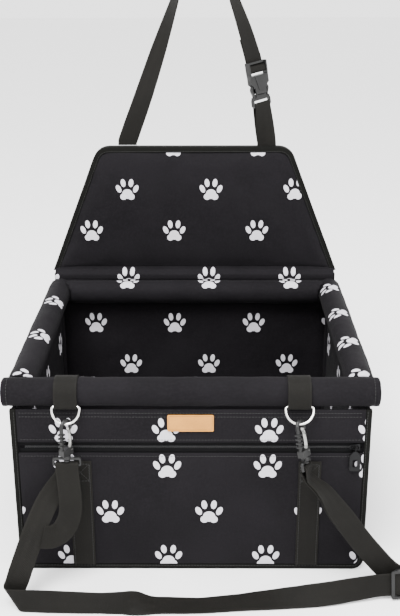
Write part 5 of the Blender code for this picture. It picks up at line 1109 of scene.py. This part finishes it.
class SEAT_OT_hardware(bpy.types.Operator):
    """Finishes the metal, plastic and board solids"""
    bl_idname = "seat.hardware"
    bl_label = "Hardware"
    bl_options = {"REGISTER", "UNDO"}

    def execute(self, context):
        hardware = context.scene.seat_hardware
        finishes = {
            "nickel_steel": bright_metal("nickel_steel", hardware.nickel, 0.16),
            "dark_metal": bright_metal("dark_metal", (0.0140, 0.0140, 0.0145), 0.34),
            "black_plastic": moulded_plastic("black_plastic", hardware.plastic),
            "tube_plastic": board_plastic("tube_plastic", (0.55, 0.55, 0.53)),
            "stiffener_board": board_plastic("stiffener_board", (0.10, 0.10, 0.10)),
        }
        gate_steel = bright_metal("gate_steel", (0.28, 0.28, 0.27), 0.24)
        slots = {part["node"]: part["material_slot"] for part in frame["record"]["subparts"]}
        for node, made in frame["nodes"].items():
            finish = gate_steel if node.endswith("_gate") else finishes.get(slots[node])
            if finish is None:
                continue
            for slot in made.material_slots:
                slot.material = finish
            weld = made.modifiers.new("weld", "WELD")
            weld.merge_threshold = WELD
            edge = made.modifiers.new("edge", "BEVEL")
            slim = node.endswith(("_gate", "_snap_hook"))
            edge.width = hardware.edge * (SLIM_EDGE if slim else 1)
            edge.segments, edge.limit_method = 2, "ANGLE"
            edge.angle_limit = math.radians(40)
        return {"FINISHED"}


FLOOR_HALF = 6
FLOOR_PLACE = (0, 2, -0.0002)
# Each light's place, target and size
KEY_LIGHT = ((-0.4, -1.2, 2.2), (0, 0.05, 0.2), 1.3)
FILL_LIGHT = ((1.5, -1.0, 1.2), (0, 0, 0.2), 1.2)
CAMERA_PLACE = (0.019, -1.148, 0.679)
CAMERA_ANGLES = (20.44, 0.50, -0.17)  # Pitch down, yaw and roll, in degrees


class SEAT_OT_stage(bpy.types.Operator):
    """Sets the floor, the lights and the camera"""
    bl_idname = "seat.stage"
    bl_label = "Stage"
    bl_options = {"REGISTER", "UNDO"}

    def execute(self, context):
        stage = context.scene.seat_stage
        paint = Paint("studio_floor")
        soft = paint.cloud(0.4, 2.0)
        paint.finish(paint.blend(soft, rgba(stage.floor), rgba(stage.floor, 0.985)), 0.75 + soft * 0.1)
        bm = bmesh.new()
        bmesh.ops.create_grid(bm, x_segments=8, y_segments=8, size=FLOOR_HALF)
        bmesh.ops.translate(bm, verts=bm.verts, vec=FLOOR_PLACE)
        add_piece("studio_floor", bm, paint.material, None)

        world = bpy.data.worlds.new("studio")
        world.use_nodes = True
        ground = world.node_tree.nodes["Background"]
        ground.inputs["Color"].default_value = (1, 1, 1, 1)
        ground.inputs["Strength"].default_value = stage.sky
        context.scene.world = world

        def lamp(name, power, place, target, size):
            data = bpy.data.lights.new(name, "AREA")
            data.shape, data.size, data.energy = "DISK", size, power
            made = bpy.data.objects.new(name, data)
            made.location = place
            made.rotation_euler = (Vector(target) - Vector(place)).to_track_quat("-Z", "Y").to_euler()
            context.scene.collection.objects.link(made)

        lamp("key_light", stage.key, *KEY_LIGHT)
        lamp("fill_light", stage.fill, *FILL_LIGHT)

        pitch, yaw, roll = map(math.radians, CAMERA_ANGLES)
        right = Vector((math.cos(yaw), math.sin(yaw), 0))
        ahead = Vector((-math.sin(yaw) * math.cos(pitch), math.cos(yaw) * math.cos(pitch), -math.sin(pitch)))
        up = right.cross(ahead)
        across = right * math.cos(roll) + up * math.sin(roll)
        above = -right * math.sin(roll) + up * math.cos(roll)
        data = bpy.data.cameras.new("camera")
        data.lens, data.sensor_fit, data.sensor_height = stage.lens, "VERTICAL", stage.sensor
        camera = bpy.data.objects.new("camera", data)
        turn = Matrix((across, above, -ahead)).transposed().to_4x4()
        camera.matrix_world = Matrix.Translation(CAMERA_PLACE) @ turn
        context.scene.collection.objects.link(camera)
        context.scene.camera = camera
        return {"FINISHED"}


class SEAT_PT_parts(bpy.types.Panel):
    """Lists the seat's sizes and the operators that make its pieces"""
    bl_idname = "SEAT_PT_parts"
    bl_label = "Dog car seat"
    bl_space_type = "VIEW_3D"
    bl_region_type = "UI"
    bl_category = "Dog seat"

    def draw(self, context):
        layout = self.layout
        for group in (context.scene.seat_cloth, context.scene.seat_webbing, context.scene.seat_hardware,
                      context.scene.seat_stage):
            box = layout.box()
            for name in group.__annotations__:
                box.prop(group, name)
        for operator in OPERATORS:
            layout.operator(operator.bl_idname)


OPERATORS = (
    SEAT_OT_stage, SEAT_OT_straps, SEAT_OT_walls, SEAT_OT_rim, SEAT_OT_pocket, SEAT_OT_bindings,
    SEAT_OT_backrest, SEAT_OT_stitches, SEAT_OT_hardware,
)
GROUPS = {"seat_cloth": SeatCloth, "seat_webbing": SeatWebbing, "seat_hardware": SeatHardware,
          "seat_stage": SeatStage}


def register():
    for kind in (*GROUPS.values(), *OPERATORS, SEAT_PT_parts):
        bpy.utils.register_class(kind)
    for name, group in GROUPS.items():
        setattr(bpy.types.Scene, name, PointerProperty(type=group))


def unregister():
    for name in GROUPS:
        delattr(bpy.types.Scene, name)
    for kind in reversed((*GROUPS.values(), *OPERATORS, SEAT_PT_parts)):
        bpy.utils.unregister_class(kind)


def main():
    register()
    for operator in OPERATORS:
        getattr(bpy.ops.seat, operator.bl_idname.split(".")[1])()
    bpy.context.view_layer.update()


if __name__ == "__main__":
    main()
